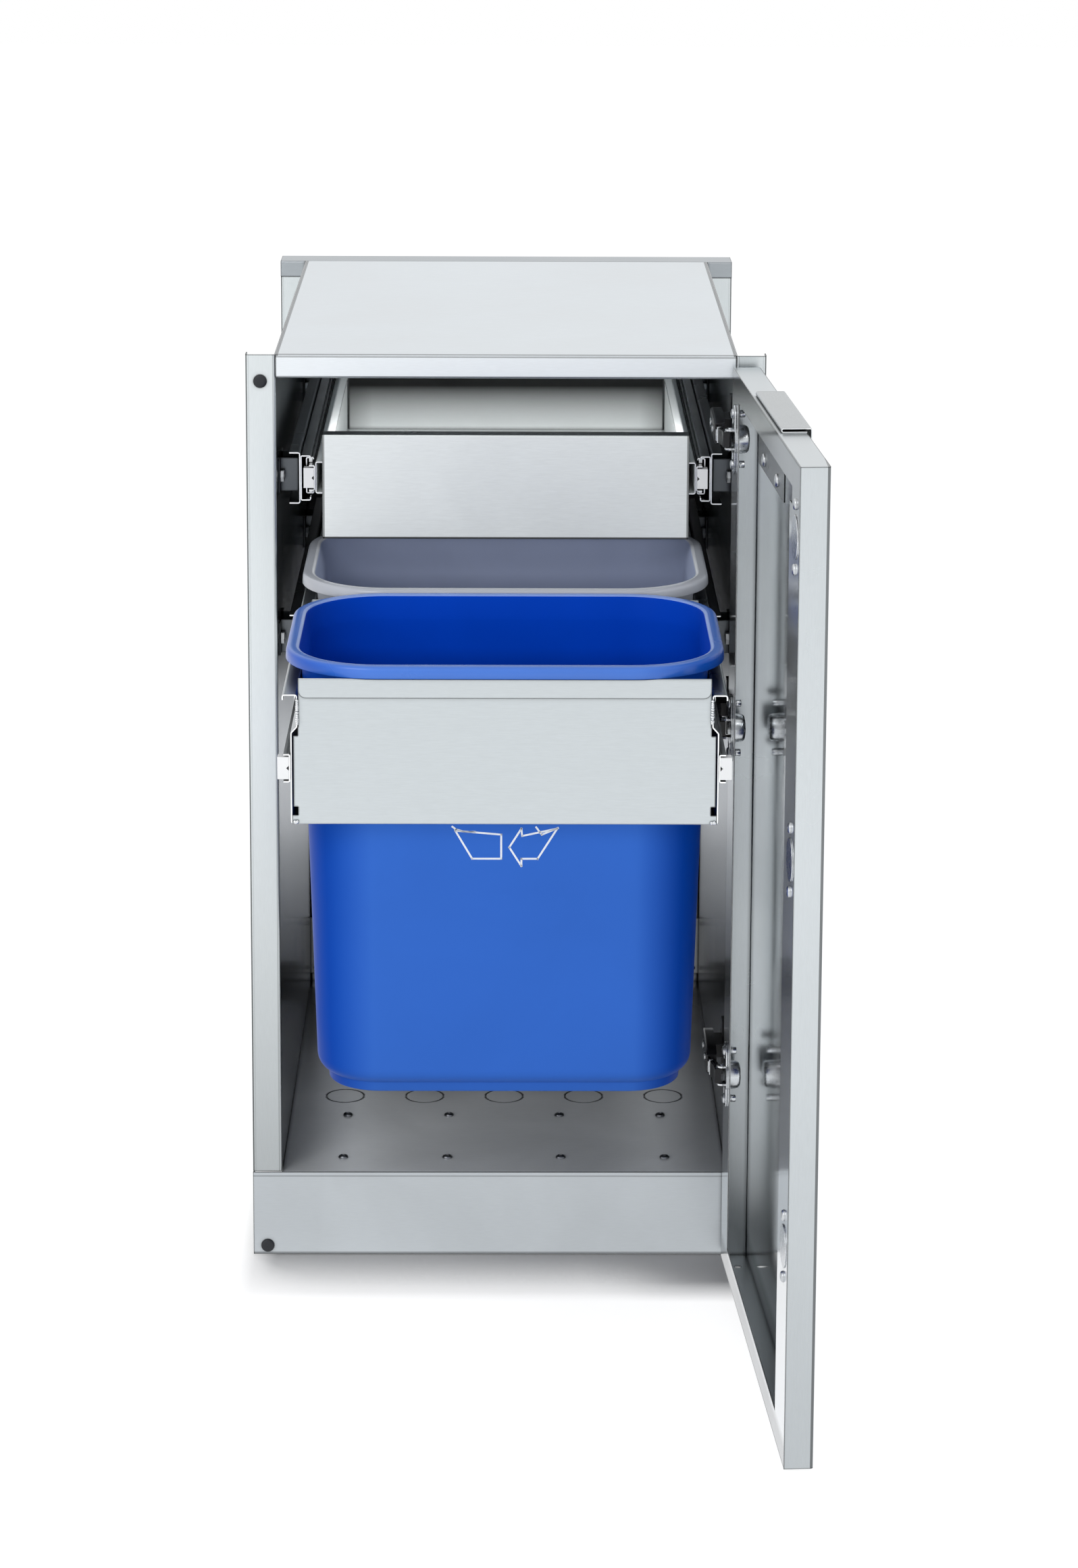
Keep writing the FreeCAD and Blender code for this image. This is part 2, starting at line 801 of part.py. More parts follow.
def door_frame():
    """Inner frame of the door, open in the middle, with holes for the hinge cups."""
    inside = door_hinge_edge - sheet
    y_span = (door_inner_y - sheet, door_inner_y)
    plate = box((-inside, inside), y_span, (door_bottom + sheet, door_top - sheet))
    x_span = (-door_hinge_edge + free_side_lip, door_hinge_edge - hinge_side_lip)
    cut_y = (y_span[0] - overrun, y_span[1] + overrun)
    low, high = door_bottom + end_lip, door_top - end_lip
    cuts = [box(x_span, cut_y, (low, high))]
    cuts.append(box((x_span[0] - relief, x_span[0] + overrun), cut_y, (high - relief, high)))
    for z in hinge_heights:
        for side in (-1, 1):
            x = side * (door_hinge_edge - cup_edge)
            through = vec(0, cut_y[1] - cut_y[0], 0)
            cuts.append(rod(cup_radius + cup_clearance, vec(x, cut_y[0], z), through))
            offset = cup_screw_offset if side > 0 else blank_screw_offset
            for end in (-1, 1):
                cuts.append(rod(screw_radius, vec(x, cut_y[0], z + end * offset), through))
    return plate.cut(cuts)


def hinge_cup(z):
    """Cup with its oval flange plate, open toward the cabinet."""
    x = door_hinge_edge - cup_edge
    cup = rod(cup_radius, vec(x, door_inner_y, z), vec(0, -cup_depth, 0))
    half = cup_plate_width / 2
    straight = cup_plate_height / 2 - half
    y_span = (door_inner_y, door_inner_y + cup_plate_stock)
    plate = box((x - half, x + half), y_span, (z - straight, z + straight))
    ends = []
    for side in (-1, 1):
        ends.append(rod(half, vec(x, door_inner_y, z + side * straight), vec(0, cup_plate_stock, 0)))
    rim = rod(cup_radius + cup_wall, vec(x, door_inner_y, z), vec(0, cup_plate_stock, 0))
    body = joined([cup, plate, rim] + ends)
    top = y_span[1] + overrun
    floor = door_inner_y - cup_depth + cup_wall
    cuts = [rod(cup_radius - cup_wall, vec(x, top, z), vec(0, floor - top, 0))]
    for side in (-1, 1):
        cuts.append(rod(screw_radius, vec(x, top, z + side * cup_screw_offset), vec(0, -cup_depth, 0)))
    return joined([body.cut(cuts)] + cup_links(x, z))


def cup_links(x, z):
    """The two flat links from the cup's floor that hold the arm's nose between them."""
    links = []
    for side in (-1, 1):
        near = nose_height / 2 + link_clearance
        heights = [z + side * v for v in (near, near + link_stock)]
        y_span = (door_inner_y - cup_depth + cup_wall / 2, door_inner_y + link_reach)
        links.append(box((x - link_width / 2, x + link_width / 2), y_span, heights))
    return links


def cup_screw(z):
    seat = vec(door_hinge_edge - cup_edge, door_inner_y + cup_plate_stock, z)
    return pan_screw(seat, vec(0, 1, 0), cup_screw_length)


def blank_disc(z):
    """Disc that closes a spare hinge hole on the free side."""
    x = -(door_hinge_edge - cup_edge)
    disc = rod(blank_radius, vec(x, door_inner_y, z), vec(0, blank_stock, 0))
    plug = rod(cup_radius, vec(x, door_inner_y, z), vec(0, -sheet, 0))
    return joined([disc, plug])


def blank_screw(z):
    seat = vec(-(door_hinge_edge - cup_edge), door_inner_y, z)
    return pan_screw(seat, vec(0, 1, 0))


def handle():
    """Edge pull: a hemmed sheet over the door's top edge that hangs in front of its face."""
    half = handle_stock / 2
    low_leaf = door_top + half
    high_leaf = low_leaf + handle_stock + handle_leaf_gap
    inner = door_inner_y - handle_setback
    outer = door_outer_y - handle_stand_off - half
    path = ((outer, high_leaf - handle_drop), (outer, high_leaf), (inner, high_leaf),
            (inner, low_leaf), (door_outer_y, low_leaf))
    span = handle_length / 2
    return bent_side(path, (-span, span), stock=handle_stock, radius=handle_bend)


def handle_bracket():
    """Angle under the door's top that the handle is screwed to."""
    y = door_inner_y - bracket_setback - half_sheet
    top = door_top - sheet - half_sheet
    path = ((y - bracket_width, top), (y, top), (y, door_top - bracket_drop))
    span = handle_length / 2
    bracket = bent_side(path, (-span, span))
    holes = [rod(screw_radius, seat, vec(0, -bracket_width, 0)) for seat in bracket_screw_seats()]
    return bracket.cut(holes)


def bracket_screw_seats():
    y = door_inner_y - bracket_setback
    z = door_top - bracket_drop + bracket_screw_rise
    return [vec(side * bracket_screw_spacing / 2, y, z) for side in (-1, 1)]


def bracket_screws():
    screws = [pan_screw(seat, vec(0, 1, 0), screw_length / 2) for seat in bracket_screw_seats()]
    return group([opened(s) for s in screws])


# Hinge parts on the right wall

def hinge_mount(z):
    """Plate on the wall with the raised saddle that the arm clips on."""
    face = wall_inner - mount_stock
    half = saddle_height / 2
    plate = box((face, wall_inner), (mount_y - mount_length / 2, mount_y + mount_length / 2), (z - half, z + half))
    cross = box((face, wall_inner), (mount_y - half, mount_y + half), (z - mount_height / 2, z + mount_height / 2))
    y_span = (mount_y - saddle_length / 2, mount_y + saddle_length / 2)
    saddle = box((face - saddle_depth, face), y_span, (z - half + mount_stock, z + half - mount_stock))
    return joined([plate, cross, saddle])


def hinge_arm(z):
    """Arm on the saddle, with a nose out through the front opening to the cup's links."""
    far = wall_inner - mount_stock - saddle_depth
    middle = far - arm_depth / 2
    y_span = (arm_front_y, mount_y + arm_length / 2)
    body = box((far - arm_depth, far), y_span, (z - arm_height / 2, z + arm_height / 2))
    path = ((middle, mount_y), (middle, nose_neck_y), (middle + nose_shift, nose_end_y))
    half = nose_height / 2
    nose = bent_plan(path, (z - half, z + half), stock=nose_stock, radius=nose_bend)
    return joined([body, nose])


def save(node, shape):
    shape.exportStep("parts/" + node + ".step")


def case():
    side = side_panel()
    save("side_panel_left", side)
    save("side_panel_right", mirrored(side))
    save("floor_pan", floor_pan())
    save("back_panel", back_panel())
    save("top_cover", top_cover())
    save("base_rail", base_rail())
    save("rear_rail", rear_rail())
    save("rear_tabs", rear_tabs())
    save("tab_rivets", tab_rivets())
    save("side_bolts", side_bolts())
    save("floor_screws", floor_screws())
    save("bumpers", bumpers())
    save("hinge_mounts", group([hinge_mount(z) for z in hinge_heights]))
    save("hinge_arms", group([hinge_arm(z) for z in hinge_heights]))


def carrier():
    save("carrier_front", carrier_front())
    both_sides("carrier_side", carrier_side())
    save("carrier_back", carrier_back())
    save("carrier_divider", carrier_divider())
    save("front_bin", waste_bin(0))
    save("rear_bin", waste_bin(bin_depth + bin_gap))


def drawer():
    save("drawer_front", drawer_front())
    save("drawer_box", drawer_box())
    both_sides("drawer_side_channel", drawer_channel())


def door():
    save("door_shell", opened(door_shell()))
    save("door_frame", opened(door_frame()))
    save("handle", opened(handle()))
    save("handle_bracket", opened(handle_bracket()))
    save("bracket_screws", bracket_screws())
    save("hinge_cups", group([opened(hinge_cup(z)) for z in hinge_heights]))
    ends = (-1, 1)
    cup_screws = [cup_screw(z + end * cup_screw_offset) for z in hinge_heights for end in ends]
    save("cup_screws", group([opened(s) for s in cup_screws]))
    save("blank_discs", group([opened(blank_disc(z)) for z in hinge_heights]))
    blank_screws = [blank_screw(z + end * blank_screw_offset) for z in hinge_heights for end in ends]
    save("blank_screws", group([opened(s) for s in blank_screws]))


os.makedirs("parts", exist_ok=True)
case()
runners()
carrier()
drawer()
door()
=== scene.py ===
import json
import math
import random
import bmesh
import bpy
from mathutils import Matrix, Vector


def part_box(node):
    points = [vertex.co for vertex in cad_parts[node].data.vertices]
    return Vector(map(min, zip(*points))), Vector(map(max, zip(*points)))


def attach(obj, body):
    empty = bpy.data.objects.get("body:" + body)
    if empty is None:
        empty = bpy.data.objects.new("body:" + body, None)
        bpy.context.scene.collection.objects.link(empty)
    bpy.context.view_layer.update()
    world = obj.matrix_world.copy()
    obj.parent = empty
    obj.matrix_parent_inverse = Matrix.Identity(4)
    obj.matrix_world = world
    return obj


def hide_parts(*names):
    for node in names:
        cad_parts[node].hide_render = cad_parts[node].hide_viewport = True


# Trash bin cabinet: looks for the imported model. Metres, X to the right, Y into the cabinet, Z up.

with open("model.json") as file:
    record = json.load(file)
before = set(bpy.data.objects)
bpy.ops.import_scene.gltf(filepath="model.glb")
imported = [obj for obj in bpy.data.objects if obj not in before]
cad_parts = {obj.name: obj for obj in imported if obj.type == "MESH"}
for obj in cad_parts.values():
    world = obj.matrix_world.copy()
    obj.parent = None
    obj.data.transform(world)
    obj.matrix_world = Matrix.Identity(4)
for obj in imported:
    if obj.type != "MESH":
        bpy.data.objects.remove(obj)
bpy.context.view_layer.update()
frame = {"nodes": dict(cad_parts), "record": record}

MM = 0.001

# Photograph and camera
PHOTO_WIDTH, PHOTO_HEIGHT = 1596, 2322
FOCAL_PIXELS = 6064.83
PRINCIPAL = (821.34, 699.58)
CAMERA_PLACE = (0.82 * MM, -3540.88 * MM, 1432.03 * MM)
CAMERA_YAW, CAMERA_PITCH, CAMERA_ROLL = (math.radians(a) for a in (0.686, 11.206, 0.288))
SENSOR = 36.0


def make_camera():
    """The camera that took the photograph, from its fitted pose and focal length."""
    yaw, pitch, roll = CAMERA_YAW, CAMERA_PITCH, CAMERA_ROLL
    ahead = Vector((math.sin(yaw) * math.cos(pitch), math.cos(yaw) * math.cos(pitch), -math.sin(pitch)))
    level = Vector((math.cos(yaw), -math.sin(yaw), 0))
    over = level.cross(ahead)
    right = level * math.cos(roll) + over * math.sin(roll)
    up = over * math.cos(roll) - level * math.sin(roll)
    data = bpy.data.cameras.new("camera")
    data.sensor_fit = "AUTO"
    data.sensor_width = SENSOR
    data.lens = FOCAL_PIXELS / PHOTO_HEIGHT * SENSOR
    data.shift_x = (PHOTO_WIDTH / 2 - PRINCIPAL[0]) / PHOTO_HEIGHT
    data.shift_y = (PRINCIPAL[1] - PHOTO_HEIGHT / 2) / PHOTO_HEIGHT
    camera = bpy.data.objects.new("camera", data)
    bpy.context.scene.collection.objects.link(camera)
    axes = Matrix((right, up, -ahead)).transposed()
    camera.matrix_world = Matrix.Translation(CAMERA_PLACE) @ axes.to_4x4()
    bpy.context.scene.camera = camera


make_camera()


# Materials

class Nodes:
    """Short ways to add and join shader nodes."""

    def __init__(self, tree):
        self.tree = tree

    def add(self, kind, **values):
        node = self.tree.nodes.new("ShaderNode" + kind)
        for key, value in values.items():
            setattr(node, key, value)
        return node

    def set(self, socket, value):
        if isinstance(value, bpy.types.NodeSocket):
            self.tree.links.new(value, socket)
        else:
            socket.default_value = value

    def math(self, operation, first, second=0.0, clamp=False):
        node = self.add("Math", operation=operation, use_clamp=clamp)
        self.set(node.inputs[0], first)
        self.set(node.inputs[1], second)
        return node.outputs[0]

    def place(self):
        return self.add("TexCoord").outputs["Object"]

    def axis(self, letter):
        split = self.add("SeparateXYZ")
        self.set(split.inputs[0], self.place())
        return split.outputs[letter]

    def off_middle(self, letter):
        """Place along an axis, the same on the left and on the right."""
        return self.math("ABSOLUTE", self.axis(letter)) if letter == "X" else self.axis(letter)

    def times(self, first, second):
        return self.math("MULTIPLY", first, second)

    def painted_gradient(self, painted_shading):
        """A share of the tone that changes along axes: painted shade and light.

        Each fall is (axis, share, place of that share, place of the full tone).
        """
        share = 1.0
        for letter, least, place, full in painted_shading:
            share = self.times(share, self.span(self.off_middle(letter), least, 1.0, place, full))
        return share

    def sideways(self):
        """How far a surface faces left or right."""
        split = self.add("SeparateXYZ")
        self.set(split.inputs[0], self.add("TexCoord").outputs["Normal"])
        return self.math("ABSOLUTE", split.outputs["X"])

    def line(self, letter, place, half_width):
        """One on a line across an axis, and nothing beside it or on surfaces that face left or right."""
        near = self.add("Math", operation="COMPARE")
        self.set(near.inputs[0], self.off_middle(letter))
        near.inputs[1].default_value = place
        near.inputs[2].default_value = half_width
        return self.times(near.outputs[0], self.span(self.sideways(), 1.0, 0.0, 0.85, 0.97))

    def noise(self, scale, detail=2.0, distortion=0.0, stretch=(1, 1, 1)):
        mapping = self.add("Mapping")
        self.set(mapping.inputs["Vector"], self.place())
        mapping.inputs["Scale"].default_value = stretch
        node = self.add("TexNoise")
        self.set(node.inputs["Vector"], mapping.outputs[0])
        node.inputs["Scale"].default_value = scale
        node.inputs["Detail"].default_value = detail
        node.inputs["Distortion"].default_value = distortion
        return node.outputs["Fac"]

    def span(self, value, low, high, from_low=0.0, from_high=1.0):
        node = self.add("MapRange")
        for name, amount in (("Value", value), ("From Min", from_low), ("From Max", from_high),
                             ("To Min", low), ("To Max", high)):
            self.set(node.inputs[name], amount)
        return node.outputs[0]

    def around(self, noise, middle, below, above=None):
        """A value that wanders with a noise, from a little below its middle to a little above it."""
        return self.span(noise, middle - below, middle + (above or below), *NOISE_RANGE)

    def blend(self, factor, first, second):
        node = self.add("Mix", data_type="RGBA")
        self.set(node.inputs["Factor"], factor)
        self.set(node.inputs[6], first)
        self.set(node.inputs[7], second)
        return node.outputs[2]

    def shaded(self, colour, share):
        """A colour made darker or lighter by a share that varies over the surface."""
        node = self.add("Mix", data_type="RGBA", blend_type="MULTIPLY")
        node.inputs["Factor"].default_value = 1.0
        self.set(node.inputs[6], colour)
        grey = self.add("CombineColor")
        for socket in grey.inputs:
            self.set(socket, share)
        self.set(node.inputs[7], grey.outputs[0])
        return node.outputs[2]

    def crevice(self, reach, inside=False):
        """How open a place is within a reach: low in seams and folds, or inside on outer edges."""
        node = self.add("AmbientOcclusion", inside=inside)
        node.samples = 6
        node.inputs["Distance"].default_value = reach
        return node.outputs["AO"]

    def bump(self, height, strength, distance):
        node = self.add("Bump")
        node.inputs["Strength"].default_value = strength
        node.inputs["Distance"].default_value = distance
        self.set(node.inputs["Height"], height)
        return node.outputs[0]


def new_material(name):
    """A material with its node helper and its surface shader."""
    material = bpy.data.materials.new(name)
    material.use_nodes = True
    tree = material.node_tree
    shader = tree.nodes["Principled BSDF"]
    return material, Nodes(tree), shader


def rgba(colour):
    return (*colour, 1.0)


# Noises: the range that a noise mostly keeps to, its stretch along a grain and its scales

NOISE_RANGE = (0.3, 0.7)
GRAIN = {"x": (0.06, 1, 1), "y": (1, 0.06, 1), "z": (1, 1, 0.06)}
FINE_GRAIN, STREAKS, CLOUDS = 1900, 800, 7

# Reaches and places on the sheets in metres, and the shares of open surroundings that count: they set the
# painted shade in seams and hollows, the painted dark lines on outer sheet edges and along bends, and where
# the painted shade inside the case walls begins

SEAM_REACH, SHEET_EDGE_REACH, DARKEST = 0.004, 0.0011, 0.25
SEAM_SPAN, SHEET_EDGE_SPAN, HOLLOW_SPAN = (0.45, 0.95), (0.7, 0.98), (0.3, 0.85)
WALL_FACE_X, POST_SHEET_Y = 0.20255, 0.0013
THIN = 0.0005


def steel(name, colour, roughness, grain="x", brush=0.03, smear=0.03, bump=0.12, metal=1.0,
          inner=None, painted_shading=(), lines=(), hollow_shade=None, seam=DARKEST):
    """Sheet steel with a brushed grain along an axis.

    inner gives another colour inside the case walls, a darker one that is painted shade, with its own
    roughness and its own painted shade and light along axes: (colour, roughness, shading along axes). The
    shading along
    axes paints shade and light. The lines are painted dark lines of shade along bends and edges, and of a
    shadow:
    (axis, place, depth, half width). The hollow setting paints shade into hollows: (reach, share). The seam
    share is the share of the tone in seams, where shade is painted. Outer sheet edges always get painted
    dark lines of shade.
    """
    material, n, shader = new_material(name)
    shader.inputs["Metallic"].default_value = metal
    fine = n.noise(FINE_GRAIN, 3.0, 0.4, GRAIN[grain])
    streak = n.noise(STREAKS, 2.0, 0.3, GRAIN[grain])
    cloud = n.noise(CLOUDS, 4.0, 0.6)
    strokes = n.math("ADD", n.times(fine, 0.7), n.times(streak, 0.3))
    share = n.times(n.around(strokes, 1.0, brush), n.around(cloud, 1.0, smear))
    # Painted shade and light along axes
    share = n.times(share, n.painted_gradient(painted_shading))
    tone = rgba(colour)
    rough = n.around(cloud, roughness, 0.04, 0.05)
    # Inside the case walls: a darker colour that is painted shade, its own roughness and its own painted
    # shade and light along axes
    if inner:
        inner_shade_colour, inner_roughness, inner_painted_shading = inner
        inside = n.times(n.math("LESS_THAN", n.off_middle("X"), WALL_FACE_X),
                         n.math("GREATER_THAN", n.axis("Y"), POST_SHEET_Y))
        tone = n.blend(inside, tone, rgba(inner_shade_colour))
        rough = n.times(rough, n.span(inside, 1.0, inner_roughness / roughness))
        share = n.times(share, n.span(inside, 1.0, n.painted_gradient(inner_painted_shading)))
    # Painted shade in hollows where asked and in seams, and painted dark lines of shade on outer sheet
    # edges
    if hollow_shade:
        reach, deepest = hollow_shade
        share = n.times(share, n.span(n.crevice(reach), deepest, 1.0, *HOLLOW_SPAN))
    share = n.times(share, n.span(n.crevice(SEAM_REACH), seam, 1.0, *SEAM_SPAN))
    share = n.times(share, n.span(n.crevice(SHEET_EDGE_REACH, True), DARKEST, 1.0, *SHEET_EDGE_SPAN))
    # Painted dark lines of shade along bends and edges, and of a shadow
    for letter, place, depth, half_width in lines:
        share = n.times(share, n.span(n.line(letter, place, half_width), 1.0, 1.0 - depth))
    n.set(shader.inputs["Base Color"], n.shaded(tone, share))
    n.set(shader.inputs["Roughness"], rough)
    n.set(shader.inputs["Normal"], n.bump(strokes, bump, 0.00012))
    return material


def plastic(name, colour, roughness, bump=0.05, fleck=0.05, index=1.45, sides=None):
    """Moulded plastic with a fine skin, slight clouding and another tone on walls turned sideways, a darker
    one that is painted shade.
    """
    material, n, shader = new_material(name)
    shader.inputs["IOR"].default_value = index
    skin = n.noise(900, 3.0)
    cloud = n.noise(9, 4.0, 0.4)
    tone = rgba(colour)
    # Painted shade: a darker tone on walls turned sideways
    if sides:
        tone = n.blend(n.span(n.sideways(), 0.0, 1.0, 0.1, 0.75), tone, rgba(sides))
    n.set(shader.inputs["Base Color"], n.shaded(tone, n.around(cloud, 1.0, fleck)))
    n.set(shader.inputs["Roughness"], n.around(cloud, roughness, 0.04, 0.06))
    n.set(shader.inputs["Normal"], n.bump(skin, bump, 0.0002))
    return material


def plated(name, colour, roughness):
    """Plated small parts: bright metal with a faint cloudiness."""
    material, n, shader = new_material(name)
    shader.inputs["Metallic"].default_value = 1.0
    cloud = n.noise(160, 3.0)
    n.set(shader.inputs["Base Color"], n.shaded(rgba(colour), n.around(cloud, 1.0, 0.1, 0.06)))
    n.set(shader.inputs["Roughness"], n.around(cloud, roughness, 0.03, 0.06))
    n.set(shader.inputs["Normal"], n.bump(n.noise(700, 2.0), 0.05, 0.0001))
    return material


# Every steel gets painted shade in its seams and painted dark lines of shade on its outer edges; other
# painted light and shade is told above each steel
STEELS = {
    # The case: darker towards the floor as painted shade, a darker colour inside the walls that is painted
    # shade, lighter up high inside as painted light, and painted dark lines of shade at the posts' edges
    "case_steel": dict(
        colour=(0.70, 0.742, 0.755), roughness=0.34, grain="z", smear=0.04, painted_shading=(("Z", 0.62, 0.08, 0.5),),
        inner=((0.43, 0.45, 0.475), 0.18, (("Z", 0.95, 0.2, 0.3), ("Z", 1.4, 0.62, 0.48))),
        lines=(("X", 0.2281, 0.75, 0.0009), ("X", 0.2258, 0.12, THIN), ("X", 0.2044, 0.3, THIN))),
    # The top: painted dark lines of shade along its front bend and at its sides
    "top_steel": dict(
        colour=(0.70, 0.74, 0.77), roughness=0.38,
        lines=(("Y", 0.003, 0.5, 0.002), ("X", 0.2006, 0.6, 0.0008))),
    # The top's front faces: a lighter copy of the top's steel, painted light, with painted dark lines of
    # shade at its bends
    "apron_steel": dict(
        colour=(0.84, 0.88, 0.91), roughness=0.38, metal=0.7,
        lines=(("Z", 0.8337, 0.5, 0.0012), ("Z", 0.8156, 0.5, THIN))),
    # The base: painted dark lines of shade along its top and bottom bends
    "base_steel": dict(
        colour=(0.50, 0.532, 0.555), roughness=0.32, smear=0.06,
        lines=(("Z", 0.0758, 0.3, 0.0008), ("Z", 0.0022, 0.3, 0.0008))),
    # The floor pan: a lighter copy of the steel, painted light, darker towards the sides and the back as
    # painted shade
    "floor_steel": dict(
        colour=(0.94, 0.97, 0.99), roughness=0.20, smear=0.08, metal=0.3,
        painted_shading=(("X", 0.65, 0.2, 0.14), ("Y", 0.1, 0.5, 0.2))),
    # The rear rail: a darker copy of the steel, painted shade
    "rail_steel": dict(colour=(0.41, 0.44, 0.465), roughness=0.34, smear=0.04),
    # The handle bracket's own dark tone, used also as painted shade on the drawer front's upward faces
    "bracket_steel": dict(colour=(0.11, 0.12, 0.13), roughness=0.26, brush=0.02, smear=0.06),
    # The back panel's inner faces: a lighter copy of the steel, painted light, darker higher up as painted
    # shade
    "back_steel": dict(
        colour=(0.84, 0.86, 0.88), roughness=0.16, metal=0.7, painted_shading=(("Z", 0.22, 0.45, 0.34),)),
    "rear_steel": dict(colour=(0.62, 0.655, 0.68), roughness=0.34),
    # The door's skin: darker towards the floor as painted shade, with a painted dark line of shade at its
    # edge
    "door_skin_steel": dict(
        colour=(0.585, 0.622, 0.642), roughness=0.30, grain="z", painted_shading=(("Z", 0.8, 0.0, 0.5),),
        lines=(("X", 0.2488, 0.65, 0.0014),)),
    # The door's frame: darker at its top and at its bottom as painted shade
    "door_frame_steel": dict(
        colour=(0.80, 0.83, 0.85), roughness=0.14, grain="z", brush=0.02, smear=0.04, metal=0.75,
        painted_shading=(("Z", 0.4, 0.776, 0.770), ("Z", 0.45, 0.02, 0.03))),
    # The door's inner face: a near white copy of the door's steel, painted light, darker towards its front
    # end and its bottom as painted shade
    "door_inside_steel": dict(
        colour=(0.97, 0.99, 1.0), roughness=0.07, grain="z", brush=0.01, bump=0.03, metal=0.95,
        painted_shading=(("Y", 0.5, -0.34, -0.22), ("Z", 0.4, 0.022, 0.034))),
    "handle_steel": dict(colour=(0.72, 0.76, 0.78), roughness=0.28),
    "tray_steel": dict(colour=(0.965, 0.99, 0.985), roughness=0.42, brush=0.02, metal=0.2),
    # The inner face of the tray's back: painted shade of the top, black at its upper edge and lighter
    # downward, darker towards its sides
    "tray_back_steel": dict(
        colour=(0.965, 0.99, 0.985), roughness=0.42, brush=0.02, metal=0.2,
        painted_shading=(("Z", 0.0, 0.712, 0.668), ("X", 0.6, 0.158, 0.135))),
    # The wall spacers: a near black copy of the steel, painted shade
    "spacer_steel": dict(colour=(0.12, 0.13, 0.14), roughness=0.30, grain="y", smear=0.05),
    # The carrier front: less painted shade in its seams
    "carrier_steel": dict(
        colour=(0.56, 0.60, 0.62), roughness=0.40, brush=0.035, smear=0.02, bump=0.08, metal=0.85,
        seam=0.6),
    # The drawer front: a painted dark line at its bottom edge for the shadow under it, and painted dark
    # lines of shade at its sides
    "drawer_steel": dict(
        colour=(0.89, 0.925, 0.925), roughness=0.48, brush=0.04, metal=0.2,
        lines=(("Z", 0.6653, 0.85, 0.0014), ("X", 0.1617, 0.6, 0.0009))),
    # The runners: painted shade in their hollows
    "runner_zinc": dict(
        colour=(0.72, 0.74, 0.76), roughness=0.22, grain="y", smear=0.05, hollow_shade=(0.03, 0.25)),
    # The channels: a dark copy of the steel, painted shade, with painted shade in their hollows
    "channel_steel": dict(
        colour=(0.26, 0.28, 0.30), roughness=0.30, grain="y", smear=0.08, hollow_shade=(0.03, 0.15)),
    # The rear tabs: a near white copy of the steel, painted light
    "tab_steel": dict(colour=(0.95, 0.97, 0.98), roughness=0.30, smear=0.05, metal=0.1),
    # The carrier's sides: a darker copy of the steel, painted shade, with painted shade in their hollows
    "side_steel": dict(
        colour=(0.40, 0.43, 0.45), roughness=0.30, grain="y", brush=0.04, smear=0.05, hollow_shade=(0.03, 0.4)),
}
PLASTICS = {
    "stop_nylon": dict(colour=(0.86, 0.87, 0.88), roughness=0.45, bump=0.03, fleck=0.02),
    "hinge_black": dict(colour=(0.012, 0.012, 0.014), roughness=0.25, bump=0.03),
    "bumper_rubber": dict(colour=(0.018, 0.02, 0.024), roughness=0.55, bump=0.1),
    # The blue bin: a darker tone on walls turned sideways, painted shade
    "bin_blue": dict(
        colour=(0.036, 0.140, 0.57), roughness=0.42, bump=0.04, fleck=0.03, index=1.14,
        sides=(0.001, 0.058, 0.42)),
    # The blue bin's inside: a darker copy of the plastic, painted shade
    "bin_blue_inside": dict(colour=(0.0003, 0.052, 0.50), roughness=0.5, bump=0.04, fleck=0.06, index=1.12),
    # The blue bin's rim: a lighter copy of the plastic, painted light, darker on walls turned sideways as
    # painted shade
    "bin_blue_rim": dict(
        colour=(0.055, 0.18, 0.64), roughness=0.24, bump=0.04, fleck=0.04, index=1.5,
        sides=(0.004, 0.09, 0.52)),
    # The band at the blue bin's rim's inner edge: a pale copy of the plastic, a painted highlight
    "bin_blue_edge": dict(colour=(0.20, 0.33, 0.78), roughness=0.24, bump=0.04, fleck=0.06, index=1.5),
    "bin_grey": dict(colour=(0.38, 0.40, 0.45), roughness=0.38, bump=0.04, fleck=0.04),
    # The grey bin's inside: a bluer copy of the plastic, its tone painted as it looks in the bin's shade
    "bin_grey_inside": dict(colour=(0.36, 0.41, 0.56), roughness=0.5, bump=0.04, fleck=0.06, index=1.2),
    # The grey bin's rim: a lighter copy of the plastic, painted light
    "bin_grey_rim": dict(colour=(0.46, 0.48, 0.53), roughness=0.22, bump=0.04, fleck=0.04, index=1.6),
    # The band at the grey bin's rim's inner edge: a pale copy of the plastic, a painted highlight
    "bin_grey_edge": dict(colour=(0.66, 0.68, 0.72), roughness=0.22, bump=0.04, fleck=0.06, index=1.6),
    # Dark strips in the floor's knock-out slits: painted shade
    "dark_line": dict(colour=(0.015, 0.016, 0.018), roughness=0.6),
    "print_white": dict(colour=(0.80, 0.84, 0.90), roughness=0.5, bump=0.02, fleck=0.02),
}
PLATED = {
    "fastener_steel": dict(colour=(0.56, 0.58, 0.60), roughness=0.34),
    "dark_fastener": dict(colour=(0.26, 0.27, 0.29), roughness=0.30),
    "hinge_chrome": dict(colour=(0.66, 0.68, 0.70), roughness=0.25),
    "weld_steel": dict(colour=(0.70, 0.72, 0.74), roughness=0.25),
    "cut_edge": dict(colour=(0.93, 0.95, 0.96), roughness=0.30),
}
materials = {}
for make_look, table in ((steel, STEELS), (plastic, PLASTICS), (plated, PLATED)):
    for title, look in table.items():
        materials[title] = make_look(title, **look)

# Nodes whose finish isn't that of their slot; most are lighter or darker copies of the steel, painted light
# or painted shade

